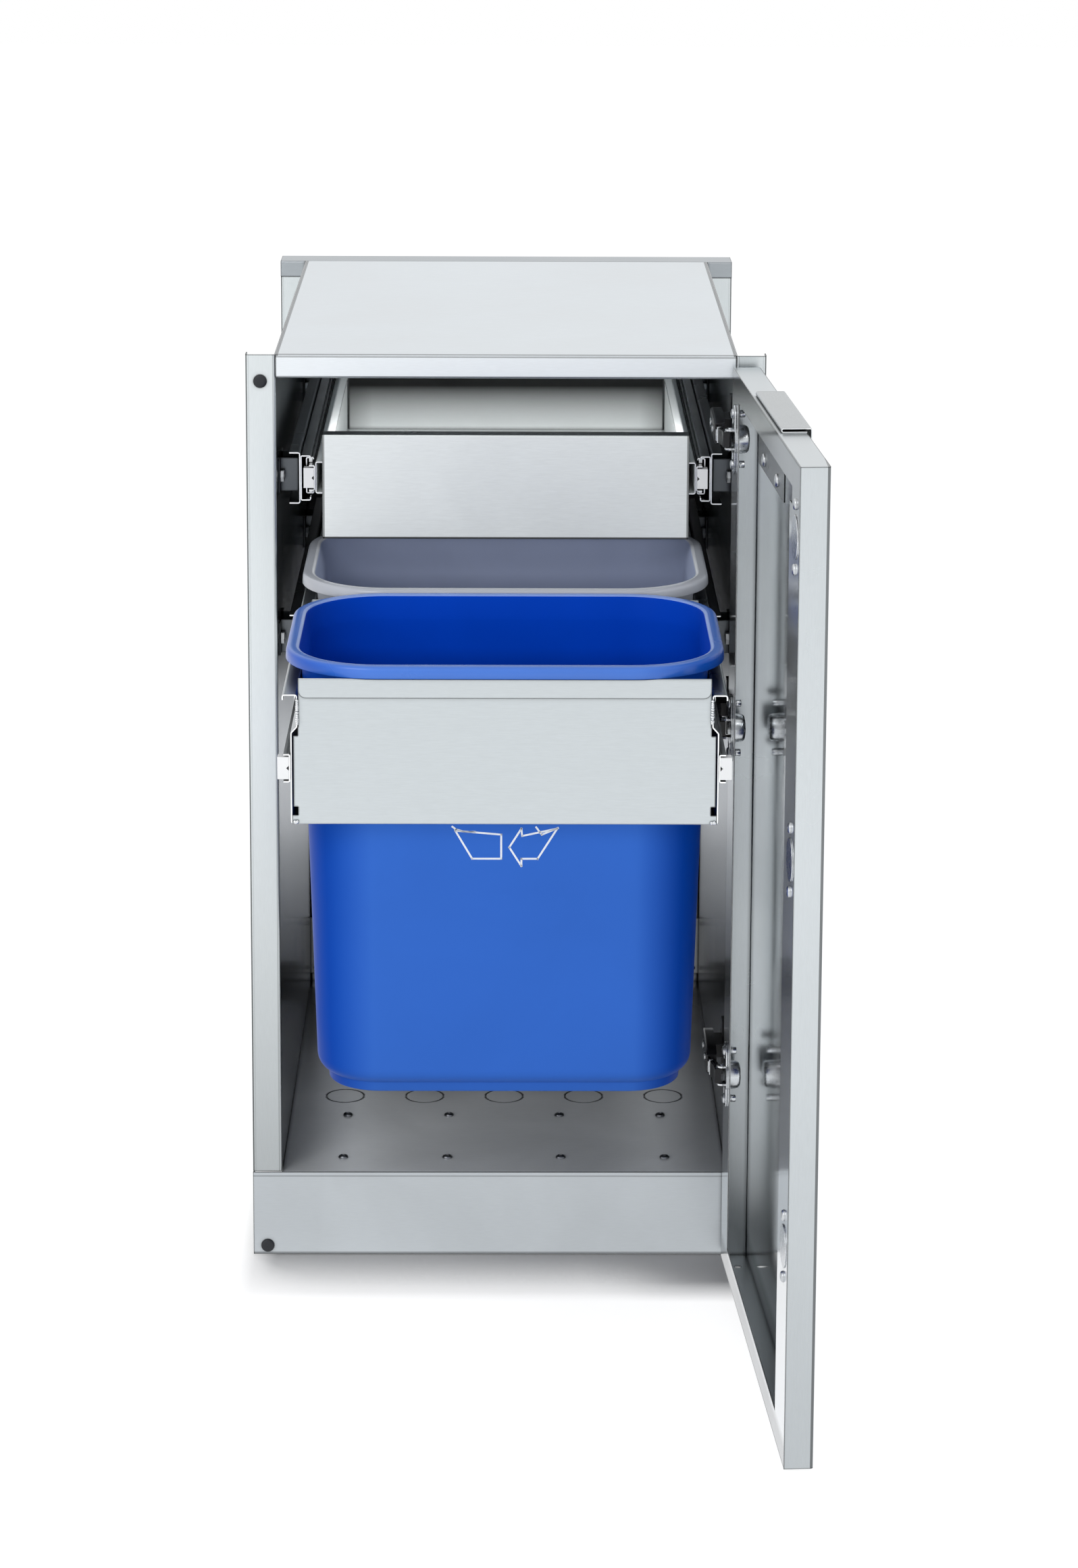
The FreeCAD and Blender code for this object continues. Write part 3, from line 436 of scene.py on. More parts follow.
NODE_FINISH_OR_PAINTED_SHADING = {
    "floor_pan": "floor_steel", "back_panel": "back_steel", "rear_tabs": "tab_steel",
    "rear_rail": "rail_steel", "handle_bracket": "bracket_steel", "door_shell": "door_skin_steel",
    "door_frame": "door_frame_steel", "carrier_side_left": "side_steel", "carrier_side_right": "side_steel",
    "drawer_box": "tray_steel", "wall_spacers": "spacer_steel",
}

# Finish of the faces of a node that look one way. Besides the plain rear of the back panel and the bright
# cut
# edges, these are painted: light on the top's front, shade on the drawer front's upward faces and on the
# inner face of the tray's back, and light with shade on the door's inner face

FORWARD, BACKWARD, UPWARD, LEFTWARD = (0, -1, 0), (0, 1, 0), (0, 0, 1), (-1, 0, 0)
FACING = {
    "top_cover": ("apron_steel", FORWARD), "drawer_front": ("bracket_steel", UPWARD),
    "drawer_box": ("tray_back_steel", FORWARD), "back_panel": ("rear_steel", BACKWARD),
    "door_shell": ("door_inside_steel", LEFTWARD), "handle": ("cut_edge", FORWARD),
}
for cut_sheet in ("carrier_side", "carrier_slide_outer", "carrier_slide_middle", "carrier_slide_inner",
                  "drawer_slide_outer", "drawer_slide_middle", "drawer_slide_inner", "carrier_channel",
                  "drawer_channel", "drawer_side_channel"):
    for end in ("left", "right"):
        FACING[f"{cut_sheet}_{end}"] = ("cut_edge", FORWARD)

MERGE_WITHIN, EDGE_SOFTNESS, NODE_EDGE_DEGREES, SHAPE_EDGE_DEGREES = 0.000002, 0.0002, 50, 45
SHAPE_MERGE_WITHIN = 0.000001
FACES_THERE = 0.95


def soften(obj, width, degrees):
    """Small rounds on edges sharper than an angle."""
    bevel = obj.modifiers.new("soften", "BEVEL")
    bevel.width = width
    bevel.segments = 2
    bevel.limit_method = "ANGLE"
    bevel.angle_limit = math.radians(degrees)


def dress_nodes():
    """Every CAD node gets its material, round bends and softened edges."""
    slots = {row["node"]: row["material_slot"] for row in frame["record"]["subparts"]}
    for node, obj in frame["nodes"].items():
        material = materials[NODE_FINISH_OR_PAINTED_SHADING.get(node, slots[node])]
        for place in obj.material_slots:
            place.material = material
        mesh = obj.data
        if "custom_normal" in mesh.attributes:
            mesh.attributes.remove(mesh.attributes["custom_normal"])
        # Faces that look one way get another finish or a painted light or shade
        if node in FACING:
            finish_or_painted_shading, outward = FACING[node]
            mesh.materials.append(materials[finish_or_painted_shading])
            last = len(mesh.materials) - 1
            slot_of = [last if face.normal.dot(outward) > FACES_THERE else 0 for face in mesh.polygons]
            mesh.polygons.foreach_set("material_index", slot_of)
        mesh.shade_smooth()
        weld = obj.modifiers.new("weld", "WELD")
        weld.merge_threshold = MERGE_WITHIN
        soften(obj, EDGE_SOFTNESS, NODE_EDGE_DEGREES)
        even = obj.modifiers.new("even", "WEIGHTED_NORMAL")
        even.keep_sharp = True


dress_nodes()


# Shapes drawn in millimetres

def axis_turn(outward):
    """Matrix that takes +Z to a direction."""
    return Vector(outward).to_track_quat("Z", "Y").to_matrix().to_4x4()


class Shape:
    """A mesh built up from rings, in millimetres."""

    def __init__(self):
        self.points, self.faces, self.marks = [], [], []
        self.turn = Matrix()

    def add(self, points, faces, mark=0):
        base = len(self.points)
        self.points += [self.turn @ Vector(p) for p in points]
        self.faces += [[base + i for i in face] for face in faces]
        self.marks += [mark] * len(faces)

    def skin(self, rings, start=True, marks=None):
        """Quads between closed rings. The last ring is filled, and the first one on request."""
        count = len(rings[0])
        quads = [[i, (i + 1) % count, count + (i + 1) % count, count + i] for i in range(count)]
        for level, (lower, upper) in enumerate(zip(rings, rings[1:])):
            self.add([*lower, *upper], quads, marks[level] if marks else 0)
        if start:
            self.add(rings[0], [list(range(count))[::-1]])
        self.add(rings[-1], [list(range(count))], marks[-1] if marks else 0)

    def lathe(self, profile, centre=(0, 0, 0), outward=UPWARD, sides=28, lobes=None):
        """Rings of (radius, height) round an axis.

        lobes makes some of them out of round: (their numbers, radius share at an angle).
        """
        old = self.turn
        self.turn = old @ Matrix.Translation(centre) @ axis_turn(outward)
        lobed, share_at = lobes or ((), None)
        rings = []
        for index, (radius, height) in enumerate(profile):
            ring = []
            for i in range(sides):
                angle = 2 * math.pi * i / sides
                reach = radius * (share_at(angle) if index in lobed else 1)
                ring.append((reach * math.cos(angle), reach * math.sin(angle), height))
            rings.append(ring)
        self.skin(rings)
        self.turn = old

    def prism(self, outline, low, high):
        """An outline drawn out along Z."""
        self.skin([[(x, y, z) for x, y in outline] for z in (low, high)])

    def strip(self, path, width, low, high):
        """A bar of constant width along an open path."""
        count = len(path)
        left, right = [], []
        for i in range(count):
            before, after = Vector(path[max(i - 1, 0)]), Vector(path[min(i + 1, count - 1)])
            run = (after - before).normalized()
            side = Vector((-run.y, run.x)) * width / 2
            left.append(Vector(path[i]) + side)
            right.append(Vector(path[i]) - side)
        for i in range(count - 1):
            self.prism([left[i], left[i + 1], right[i + 1], right[i]], low, high)

    def make(self, name, body, looks, replaced=(), sharp=40, soft=0.0):
        """The finished object, carried by a body, in the place of the CAD nodes that it replaces."""
        mesh = bpy.data.meshes.new(name)
        mesh.from_pydata([p * MM for p in self.points], [], self.faces)
        for look in looks:
            mesh.materials.append(materials[look])
        mesh.polygons.foreach_set("material_index", self.marks)
        tidy = bmesh.new()
        tidy.from_mesh(mesh)
        bmesh.ops.remove_doubles(tidy, verts=tidy.verts, dist=SHAPE_MERGE_WITHIN)
        bmesh.ops.recalc_face_normals(tidy, faces=tidy.faces)
        tidy.to_mesh(mesh)
        tidy.free()
        mesh.shade_smooth()
        mesh.set_sharp_from_angle(angle=math.radians(sharp))
        obj = bpy.data.objects.new(name, mesh)
        bpy.context.scene.collection.objects.link(obj)
        if soft:
            soften(obj, soft * MM, SHAPE_EDGE_DEGREES)
        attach(obj, body)
        if replaced:
            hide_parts(*replaced)


def solids_of(node):
    """Corner points of each separate solid of a CAD node, in millimetres."""
    work = bmesh.new()
    work.from_mesh(frame["nodes"][node].data)
    bmesh.ops.remove_doubles(work, verts=work.verts, dist=MERGE_WITHIN)
    seen, found = set(), []
    for first in work.verts:
        if first.index in seen:
            continue
        group, queue = [], [first]
        seen.add(first.index)
        while queue:
            vert = queue.pop()
            group.append(vert.co / MM)
            for edge in vert.link_edges:
                other = edge.other_vert(vert)
                if other.index not in seen:
                    seen.add(other.index)
                    queue.append(other)
        found.append(group)
    work.free()
    return found


def middle_of(points):
    """Middle of the box round some points."""
    return Vector([(min(p[i] for p in points) + max(p[i] for p in points)) / 2 for i in range(3)])


def span_along(points, axis):
    """Lowest and highest place of some points along a direction."""
    runs = [p.dot(axis) for p in points]
    return min(runs), max(runs)


def arc(centre, radius, first, last, steps):
    """Points of an arc between two angles in degrees."""
    out = []
    for i in range(steps + 1):
        angle = math.radians(first + (last - first) * i / steps)
        out.append((centre[0] + radius * math.cos(angle), centre[1] + radius * math.sin(angle)))
    return out


# Door frame of reference, in millimetres: the closed door, turned open about its hinge axis

HINGE_AXIS = Vector((215.85, -19.25, 0))
DOOR_OPEN = math.radians(93.5)
DOOR_SWING = Matrix.Rotation(DOOR_OPEN, 4, "Z")
DOOR_TURN = Matrix.Translation(HINGE_AXIS) @ DOOR_SWING @ Matrix.Translation(-HINGE_AXIS)
DOOR_NORMAL = (DOOR_TURN.to_3x3() @ Vector(BACKWARD)).normalized()
HINGE_HEIGHTS = (767.0, 507.0, 185.0)
CUP_X = 203.5
DOOR_FACE = -2.5


# Bins, in millimetres

BIN_HALF_WIDTH, BIN_HALF_DEPTH = 176.0, 132.5
BIN_HEIGHT = 361.4
BIN_TOP = 657.6
BIN_BASE = BIN_TOP - BIN_HEIGHT
FRONT_BIN_Y, REAR_BIN_Y = -287.5, -15.5
RIM_REACH, RIM_HEIGHT, RIM_RADIUS, RIM_CROWN = 12.4, 9.8, 76.0, 2.4
BIN_FLARE, FLARE_HEIGHT = 3.4, 20.0
BIN_TAPER, BIN_WALL = 11.8, 2.4
FOOT_HEIGHT, FOOT_INSET = 7.0, 9.0
BIN_ROUND = 14.0
CORNER_STEPS = 12
WALL_LEVELS = (90, 180, 270, 334)
PLAIN_RIM_RINGS = 3
# Looks of a bin's faces: its wall, its inside in painted shade, its rim in painted light and the painted
# highlight at the rim's inner edge
WALL, INSIDE, RIM, EDGE = range(4)


def bin_ring(draw, z, middle_y):
    """Rounded rectangle drawn in from the rim's outside, at a height."""
    radius = RIM_RADIUS - draw
    points = []
    for quarter, (side, end) in enumerate(((1, 1), (-1, 1), (-1, -1), (1, -1))):
        centre = (side * (BIN_HALF_WIDTH - RIM_RADIUS), end * (BIN_HALF_DEPTH - RIM_RADIUS))
        for x, y in arc(centre, radius, 90 * quarter, 90 * quarter + 90, CORNER_STEPS):
            points.append((x, y + middle_y, z))
    return points


def wall_draw(z):
    """How far the bucket's outside lies in from the rim's outside at a height."""
    up = min(max((z - BIN_HEIGHT + FLARE_HEIGHT) / FLARE_HEIGHT, 0), 1)
    return RIM_REACH + BIN_TAPER * (1 - z / BIN_HEIGHT) - BIN_FLARE * up


def bottom_round(base, radius, wall, angles):
    """Points round the bottom corner of the bucket, on its outside or a wall's thickness in."""
    points = []
    for angle in angles:
        tuck = math.radians(angle)
        z = base + radius * (1 - math.cos(tuck))
        points.append((wall_draw(z) + wall + radius * (1 - math.sin(tuck)), z))
    return points


def bin_profile():
    """Draw-in and height from the foot's recess up the outside, over the rim and down the inside."""
    foot = wall_draw(0) + FOOT_INSET
    outer = [(foot + 30, 2.0), (foot + 5, 2.0), (foot + 3, 0.0), (foot + 1.2, 0.0), (foot, 1.2),
             (foot - 0.4, FOOT_HEIGHT + 0.3)]
    outer += bottom_round(FOOT_HEIGHT, BIN_ROUND, 0, (24, 36, 48, 60, 72, 90))
    top = BIN_HEIGHT
    flare = top - FLARE_HEIGHT
    outer += [(wall_draw(z), z) for z in (*WALL_LEVELS, flare, flare + 5, top - RIM_CROWN)]
    low = top - RIM_HEIGHT
    rim = [(2.2, top - RIM_CROWN), (2.0, low + 0.6), (1.5, low), (0.5, low), (0.0, low + 0.6),
           (0.4, top - 3.4), (0.7, top - 2.2), (1.4, top - 1.1), (2.6, top - 0.35), (4.0, top - 0.1)]
    edge = RIM_REACH - BIN_FLARE + BIN_WALL
    rim += [(edge - 3.2, top), (edge - 1.6, top - 0.3), (edge - 0.5, top - 1.1), (edge, top - 2.6)]
    inner = [(wall_draw(z) + BIN_WALL, z) for z in (top - 14, top - 19, top - 21, *WALL_LEVELS[::-1])]
    inner += bottom_round(FOOT_HEIGHT + BIN_WALL, BIN_ROUND - BIN_WALL, BIN_WALL, (90, 66, 42, 20, 0))
    return outer, rim, inner


def make_bin(node, middle_y, looks):
    """A bucket whose looks are those of its wall, its inside, its rim and the rim's inner edge: painted
    shade inside, a lighter rim that is painted light, and a painted highlight along the inner edge.
    """
    outer, rim, inner = bin_profile()
    rim_from = len(outer) + PLAIN_RIM_RINGS
    inside_from = len(outer) + len(rim) - PLAIN_RIM_RINGS
    marks = []
    # Bands inside get the painted shade, the bands at the rim's inner edge the painted highlight, the rim
    # the painted light and the outside the wall's look
    for i in range(len(outer + rim + inner)):
        if i > inside_from:
            marks.append(INSIDE)
        elif i >= inside_from - 1:
            marks.append(EDGE)
        else:
            marks.append(RIM if i > rim_from else WALL)
    shape = Shape()
    shape.skin([bin_ring(draw, BIN_BASE + z, middle_y) for draw, z in outer + rim + inner], marks=marks)
    shape.make(node + "_moulding", "carrier", looks, (node,), 50)


# Each bin's looks: its plastic, its inside in painted shade, its rim in painted light and its rim's inner
# edge as a painted highlight
for node, middle_y, hue in (("front_bin", FRONT_BIN_Y, "blue"), ("rear_bin", REAR_BIN_Y, "grey")):
    make_bin(node, middle_y, [f"bin_{hue}{part}" for part in ("", "_inside", "_rim", "_edge")])


# Fasteners

SCREW_HEAD, SHANK_SHARE, TIP_SHARE, TIP_HEIGHT = 2.4, 0.55, 0.7, 0.6
HEAD_DOME = ((1, 0), (1, 0.35), (0.93, 0.62), (0.78, 0.84), (0.55, 1), (0.5, 1), (0.44, 0.55))
CROSS_SHARE, CROSS_EDGE = 0.34, 0.86


def cross(angle):
    """Radius share of a cross recess at an angle."""
    return 1.0 if abs(math.cos(2 * angle)) > CROSS_EDGE else CROSS_SHARE


def hexagon(angle):
    """Radius share of a six-sided outline at an angle."""
    third = math.pi / 3
    return math.cos(third / 2) / math.cos((angle % third) - third / 2)


def screws(node, body, outward, recess, look="fastener_steel", grow=1.0):
    """A screw with a domed head in the place of each solid of a node."""
    shape = Shape()
    axis = Vector(outward).normalized()
    for points in solids_of(node):
        low, high = span_along(points, axis)
        middle = middle_of(points)
        centre = middle - axis * middle.dot(axis)
        reach = max((p - centre - axis * p.dot(axis)).length for p in points) * grow
        seat, shank = high - SCREW_HEAD, reach * SHANK_SHARE
        profile = [(shank * TIP_SHARE, low), (shank, low + TIP_HEIGHT), (shank, seat)]
        profile += [(reach * across, seat + SCREW_HEAD * up) for across, up in HEAD_DOME]
        recess_rings = range(len(profile) - 2, len(profile))
        shape.lathe(profile, centre, axis, 32, (recess_rings, recess))
    shape.make(node + "_heads", body, (look,), (node,), 35)


screws("floor_screws", "cabinet", UPWARD, hexagon, "dark_fastener")
screws("cup_screws", "door", DOOR_NORMAL, cross)
screws("blank_screws", "door", DOOR_NORMAL, cross)
screws("bracket_screws", "door", DOOR_NORMAL, cross, grow=1.25)


def tab_rivets():
    """Domes of the rivets, seen from the front."""
    dome = ((2.4, 0), (2.4, 0.3), (2.1, 0.75), (1.4, 1.1), (0.5, 1.2))
    shape = Shape()
    for points in solids_of("tab_rivets"):
        middle = middle_of(points)
        _, seat = span_along(points, Vector(BACKWARD))
        shape.lathe(dome, (middle.x, seat, middle.z), FORWARD, 20)
    shape.make("tab_rivets_domes", "cabinet", ("dark_fastener",), ("tab_rivets",))


def side_bolts():
    """Domed heads with a hexagon recess on the case's outer sides."""
    head = ((5, 0), (5, 1.6), (4.5, 2.5), (3.4, 3.0), (2.4, 3.0), (2.2, 1.6))
    recess_rings, head_half = range(4, 6), 1.5
    shape = Shape()
    for points in solids_of("side_bolts"):
        middle = middle_of(points)
        side = math.copysign(1, middle.x)
        foot = (middle.x - side * head_half, middle.y, middle.z)
        shape.lathe(head, foot, (side, 0, 0), 30, (recess_rings, hexagon))
    shape.make("side_bolts_heads", "cabinet", ("fastener_steel",), ("side_bolts",))


def spacer_nuts():
    """Chamfered nuts with the round ends of their bolts."""
    shape = Shape()
    nut = [(4.9, 0), (5.5, 0.5), (5.5, 3.2), (4.9, 3.8)]
    bolt = [(3.136, 3.9), (2.842, 3.1), (2.548, 3.1), (2.548, 4.0), (1.96, 4.0)]
    nut_half = 2.0
    for points in solids_of("spacer_nuts"):
        middle = middle_of(points)
        side = math.copysign(1, middle.x)
        seat = (middle.x + side * nut_half, middle.y, middle.z)
        shape.lathe(nut + bolt, seat, (-side, 0, 0), 24, (range(len(nut)), hexagon))
    shape.make("spacer_nuts_hex", "cabinet", ("fastener_steel",), ("spacer_nuts",), 30)


def bumpers():
    """Soft round pads on the face of the post."""
    pad = ((5.9, 0), (6.0, 0.4), (5.9, 1.1), (5.2, 1.75), (3.8, 2.1), (1.5, 2.2))
    shape = Shape()
    for points in solids_of("bumpers"):
        middle = middle_of(points)
        shape.lathe(pad, (middle.x, 0, middle.z), FORWARD, 32)
    shape.make("bumpers_domes", "cabinet", ("bumper_rubber",), ("bumpers",))


tab_rivets()
side_bolts()
spacer_nuts()
bumpers()


# Hinges

def stadium(half_width, half_height, steps=10):
    """Upright oval with straight sides."""
    straight = half_height - half_width
    return arc((0, straight), half_width, 0, 180, steps) + arc((0, -straight), half_width, 180, 360, steps)


def hinge_cups():
    """Stamped cups with a rimmed oval flange, two dowels and the links to the arm."""
    cup = ((8.5, -12.0), (10.5, -11.5), (11.9, -10.2), (12.5, -8.4), (13.0, -1.0), (13.0, 0.2), (11.6, 0.2),
           (11.4, -8.0), (10.0, -10.4), (7.0, -10.8))
    rim = arc((0, 0), 14.4, 0, 350, 35)
    rim_height = 1.5
    flange = stadium(9.5, 30.5)
    flange_levels = ((0.98, 0.0), (1.0, 0.3), (1.0, 1.1), (0.95, 1.6), (0.86, 1.5), (0.8, 0.9), (0.78, 0.9))
    dowel = ((2.9, -8.6), (3.3, -8.0), (3.3, -4.2), (3.0, -4.0), (3.0, -3.6), (3.3, -3.4), (3.3, 0.2))
    dowel_offset = 22.5
    link_half, link_back, link_shoulder, pin_y = 4.6, -11.0, 4.0, 4.4
    link_near, link_far = 7.4, 9.2
    link = [(-link_half, link_back), (link_half, link_back), (link_half, link_shoulder)]
    link += arc((0, pin_y), link_half, 0, 180, 8) + [(-link_half, link_shoulder)]
    pin_head = ((1.9, 0), (1.9, 0.5), (1.3, 0.9))
    shape = Shape()
    for height in HINGE_HEIGHTS:
        shape.turn = DOOR_TURN @ Matrix.Translation((CUP_X, DOOR_FACE, height))
        shape.lathe(cup, outward=BACKWARD, sides=40)
        shape.skin([[(x * k, y, z * (1 - (1 - k) * 0.3)) for x, z in flange] for k, y in flange_levels])
        shape.skin([[(x, y, z) for x, z in rim] for y in (0.0, rim_height)])
        for end in (-1, 1):
            shape.lathe(dowel, (0, 0, end * dowel_offset), BACKWARD, 20)
            shape.prism(link, end * link_near, end * link_far)
            shape.lathe(pin_head, (0, pin_y, end * link_far), (0, 0, end), 16)
    shape.turn = Matrix()
    shape.make("hinge_cups_stamped", "door", ("hinge_chrome",), ("hinge_cups",), 45, 0.15)


def hinge_arms():
    """Black arm bodies over the saddles, with a bent nose, and their bright screws and pins."""
    section = [(192.6, -12.0), (184.6, -12.0)] + arc((185.2, -10.0), 2.0, 250, 180, 3)
    section += arc((185.2, 10.0), 2.0, 180, 110, 3) + [(184.6, 12.0), (192.6, 12.0)]
    stations = ((-4.0, 0.72), (1.0, 0.9), (10.0, 1.0), (54.0, 1.0), (66.0, 0.86), (70.0, 0.62))
    nose = ((187.9, 8.0), (187.9, -8.0), (189.4, -17.0), (191.4, -27.0), (192.2, -37.0))
    nose_width, nose_half = 5.6, 6.6
    cheek = ((184.0, -3.0), (190.5, -9.0), (194.6, -36.0), (190.2, -37.0), (186.6, -12.0), (183.6, 4.0))
    cheek_far, cheek_near = 6.9, 5.4
    pin = ((1.9, -7.05), (1.9, 7.05))
    pin_places = ((192.0, -33.0, 0), (187.0, -12.0, 0))
    front_screw = ((3.6, 0), (3.6, 0.9), (3.2, 1.3), (2.2, 1.4), (2.0, 0.9))
    rear_screw = ((4.2, 0), (4.2, 0.8), (3.8, 1.2), (2.2, 1.25), (2.0, 0.8))
    screw_places = ((front_screw, (183.2, 18.0, 0)), (rear_screw, (183.2, 50.0, 0)))
    latch = ((183.9, -4.6), (184.6, -8.6), (188.6, -9.4), (188.0, -4.4))
    black, bright = Shape(), Shape()
    for height in HINGE_HEIGHTS:
        black.turn = bright.turn = Matrix.Translation((0, 0, height))
        black.skin([[(x, y, z * k) for x, z in section] for y, k in stations])
        black.strip(nose, nose_width, -nose_half, nose_half)
        for side in (-1, 1):
            black.prism(cheek, side * cheek_far, side * cheek_near)
        for place in pin_places:
            bright.lathe(pin, place, UPWARD, 16)
        for screw, place in screw_places:
            bright.lathe(screw, place, LEFTWARD, 28, ((4,), cross))
        bright.prism(latch, -6.2, 4.0)
    black.turn = bright.turn = Matrix()
    black.make("hinge_arms_black", "cabinet", ("hinge_black",), ("hinge_arms",), 40, 0.35)
    bright.make("hinge_arms_pins", "cabinet", ("hinge_chrome",), (), 40, 0.2)


hinge_cups()
hinge_arms()


# Painted shade in the slits round the floor's knock-outs: dark strips, broken at their tabs

KNOCKOUT_PITCH, KNOCKOUT_Y, KNOCKOUT_RADIUS = 76.2, 202.0, 18.5
SLIT_HALF_WIDTH, SLIT_LOW, SLIT_HIGH = 0.45, 79.3, 79.6
TAB_ANGLE, SLIT_STEPS = 9, 24


def knockout_slit_shade():
    """Two dark arcs of painted shade round each of the five knock-outs, with a tab between their ends."""
    shape = Shape()
    for i in range(-2, 3):
        centre = (i * KNOCKOUT_PITCH, KNOCKOUT_Y)
        for half_turn in (0, 180):
            sweep = (half_turn + TAB_ANGLE, half_turn + 180 - TAB_ANGLE, SLIT_STEPS)
            outer = arc(centre, KNOCKOUT_RADIUS + SLIT_HALF_WIDTH, *sweep)
            inner = arc(centre, KNOCKOUT_RADIUS - SLIT_HALF_WIDTH, *sweep)
            for j in range(SLIT_STEPS):
                shape.prism([outer[j], outer[j + 1], inner[j + 1], inner[j]], SLIT_LOW, SLIT_HIGH)
    shape.make("floor_knockout_slit_shade", "cabinet", ("dark_line",))


knockout_slit_shade()


# Balls in the cages of the middle members

BALL = ((0.5, -1.7), (1.3, -1.15), (1.75, 0.0), (1.3, 1.15), (0.5, 1.7))
BALL_PITCH, CAGE_END, CAGE_RUN = 6.6, 2, 236
OUTER_RACE_X, OUTER_RACE_OFFSET = 175.6, 17.5
INNER_RACE_X, INNER_RACE_OFFSET = 172.8, 13.9


def balls(name, height):
    """Rows of balls on a runner's middle members, outside at the back and inside at the front."""
    shape = Shape()
    count = int(CAGE_RUN // BALL_PITCH)
    for side, end in ((-1, "left"), (1, "right")):
        front, back = (corner[1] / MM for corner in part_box(f"{name}_slide_middle_{end}"))
        for x, offset, low in ((OUTER_RACE_X, OUTER_RACE_OFFSET, back - CAGE_END - CAGE_RUN),
                               (INNER_RACE_X, INNER_RACE_OFFSET, front + CAGE_END)):
            for i in range(count + 1):
                y = low + CAGE_RUN * i / count
                for sign in (-1, 1):
                    shape.lathe(BALL, (side * x, y, height + sign * offset), UPWARD, 8)
    shape.make(f"{name}_slide_balls", f"{name}_middle", ("hinge_chrome",), (), 80)


balls("carrier", 575.0)
balls("drawer", 720.0)


# Weld beads down the sides of the carrier's front, and blobs at its lower corners

WELD_SEED = 7
WELD_TOP, WELD_BOTTOM, WELD_X, WELD_Y = 630.0, 611.0, 163.5, -417.6
BEAD = ((0.2, -0.9), (0.8, -0.5), (1.0, 0.0), (0.8, 0.5), (0.2, 0.9))
BLOB = ((0.3, -1.2), (1.3, -0.6), (1.6, 0.0), (1.3, 0.6), (0.3, 1.2))
BLOB_X, BLOB_Y, BLOB_BOTTOM, BLOB_COUNT = 166.9, -416.9, 530.2, 5


def welds():
    """Small beads of uneven size and pitch, the same in every run."""
    chance = random.Random(WELD_SEED)
    shape = Shape()
    for side in (-1, 1):
        z = WELD_TOP
        while z > WELD_BOTTOM:
            size = chance.uniform(1.3, 1.9)
            place = (side * WELD_X, WELD_Y + chance.uniform(-0.3, 0.3), z)
            shape.lathe([(radius * size, height) for radius, height in BEAD], place, (0.2, -0.6, 1), 10)
            z -= chance.uniform(1.3, 2.2)
        for _ in range(BLOB_COUNT):
            place = (side * (BLOB_X - chance.uniform(0, 4)), BLOB_Y, BLOB_BOTTOM + chance.uniform(0, 1.4))
            shape.lathe(BLOB, place, (1, 0, 0), 10)
    shape.make("carrier_welds", "carrier", ("weld_steel",), (), 80)


welds()


# Outline printed on the front bin, given as offsets from the bin's middle and heights

PRINT_LINE, PRINT_RISE = 1.5, 0.12
PRINT_PATHS = (
    ((-39.2, 519.9), (-2.7, 516.7), (-2.7, 496.6), (-25.8, 496.6), (-39.2, 519.9)),
    ((-41.5, 523.2), (-38.6, 520.9), (-33.0, 519.3), (-28.0, 518.9), (-23.7, 518.9)),
    ((3.7, 506.1), (13.3, 521.7), (13.9, 515.6), (41.8, 521.8), (26.3, 496.6), (13.4, 496.6), (13.4, 490.5),
     (3.7, 506.1)),
    ((25.1, 522.8), (29.5, 516.7), (42.3, 522.3)),
)


def print_outline():
    """Thin strokes along the paths, laid on the bin's sloping front wall."""
    shape = Shape()
    front_face = FRONT_BIN_Y - BIN_HALF_DEPTH
    for path in PRINT_PATHS:
        for start, stop in zip(path, path[1:]):
            start, stop = Vector(start), Vector(stop)
            along = (stop - start).normalized() * PRINT_LINE / 2
            side = Vector((-along.y, along.x))
            corners = []
            for x, z in (start + side - along, stop + side + along,
                         stop - side + along, start - side - along):
                corners.append((x, front_face + wall_draw(z - BIN_BASE), z))
            front = [(x, y - PRINT_RISE, z) for x, y, z in corners]
            shape.skin([corners, front], start=False)
    shape.make("front_bin_print", "carrier", ("print_white",))


print_outline()


# Studio

LAMPS = {
    "key": dict(place=(-1.6, -2.6, 2.8), target=(0, 0, 0.4), size=(1.6, 1.6), power=26, mirrored=True),
    "tray": dict(place=(0, 0.06, 0.805), target=(0, 0.54, 0.68), size=(0.28, 0.015), power=0.95,
                 mirrored=False),
    "side": dict(place=(-1.4, -2.3, 0.75), target=(0.24, -0.25, 0.45), size=(1.0, 1.2), power=14,
                 mirrored=False),
    "front": dict(place=(0, -3.9, 1.45), target=(0, 0, 0.5), size=(1.7, 0.3), power=32, mirrored=False),
}
SKY_COLOUR, SKY_STRENGTH = (0.97, 0.985, 1.0), 0.52
WHITE = (1, 1, 1)
GROUND_GREY, GROUND_HALF, GROUND_DROP = (0.48, 0.48, 0.48), 12.0, 0.0003
# The floor's glow and the painted shadow in it: how far the shadow reaches, its darkest share, the span and
# curve of openness that count, and where in front and beside it is left out
GROUND_GLOW, SHADOW_REACH, SHADOW_DEPTH = 0.80, 0.13, 0.02
SHADOW_SPAN, SHADOW_CURVE = (0.5, 0.92), 2.7
CLEAR_IN_FRONT, CLEAR_BESIDE = (-0.11, -0.06), (0.205, 0.245)


def add_area(name, place, target, size, power, mirrored):
    """A rectangular lamp aimed at a place, seen in mirroring surfaces only where asked."""
    data = bpy.data.lights.new(name, "AREA")
    data.shape = "RECTANGLE"
    data.size, data.size_y = size
    data.energy = power
    lamp = bpy.data.objects.new(name, data)
    lamp.location = place
    lamp.rotation_euler = (Vector(target) - Vector(place)).to_track_quat("-Z", "Y").to_euler()
    lamp.visible_glossy = mirrored
    bpy.context.scene.collection.objects.link(lamp)


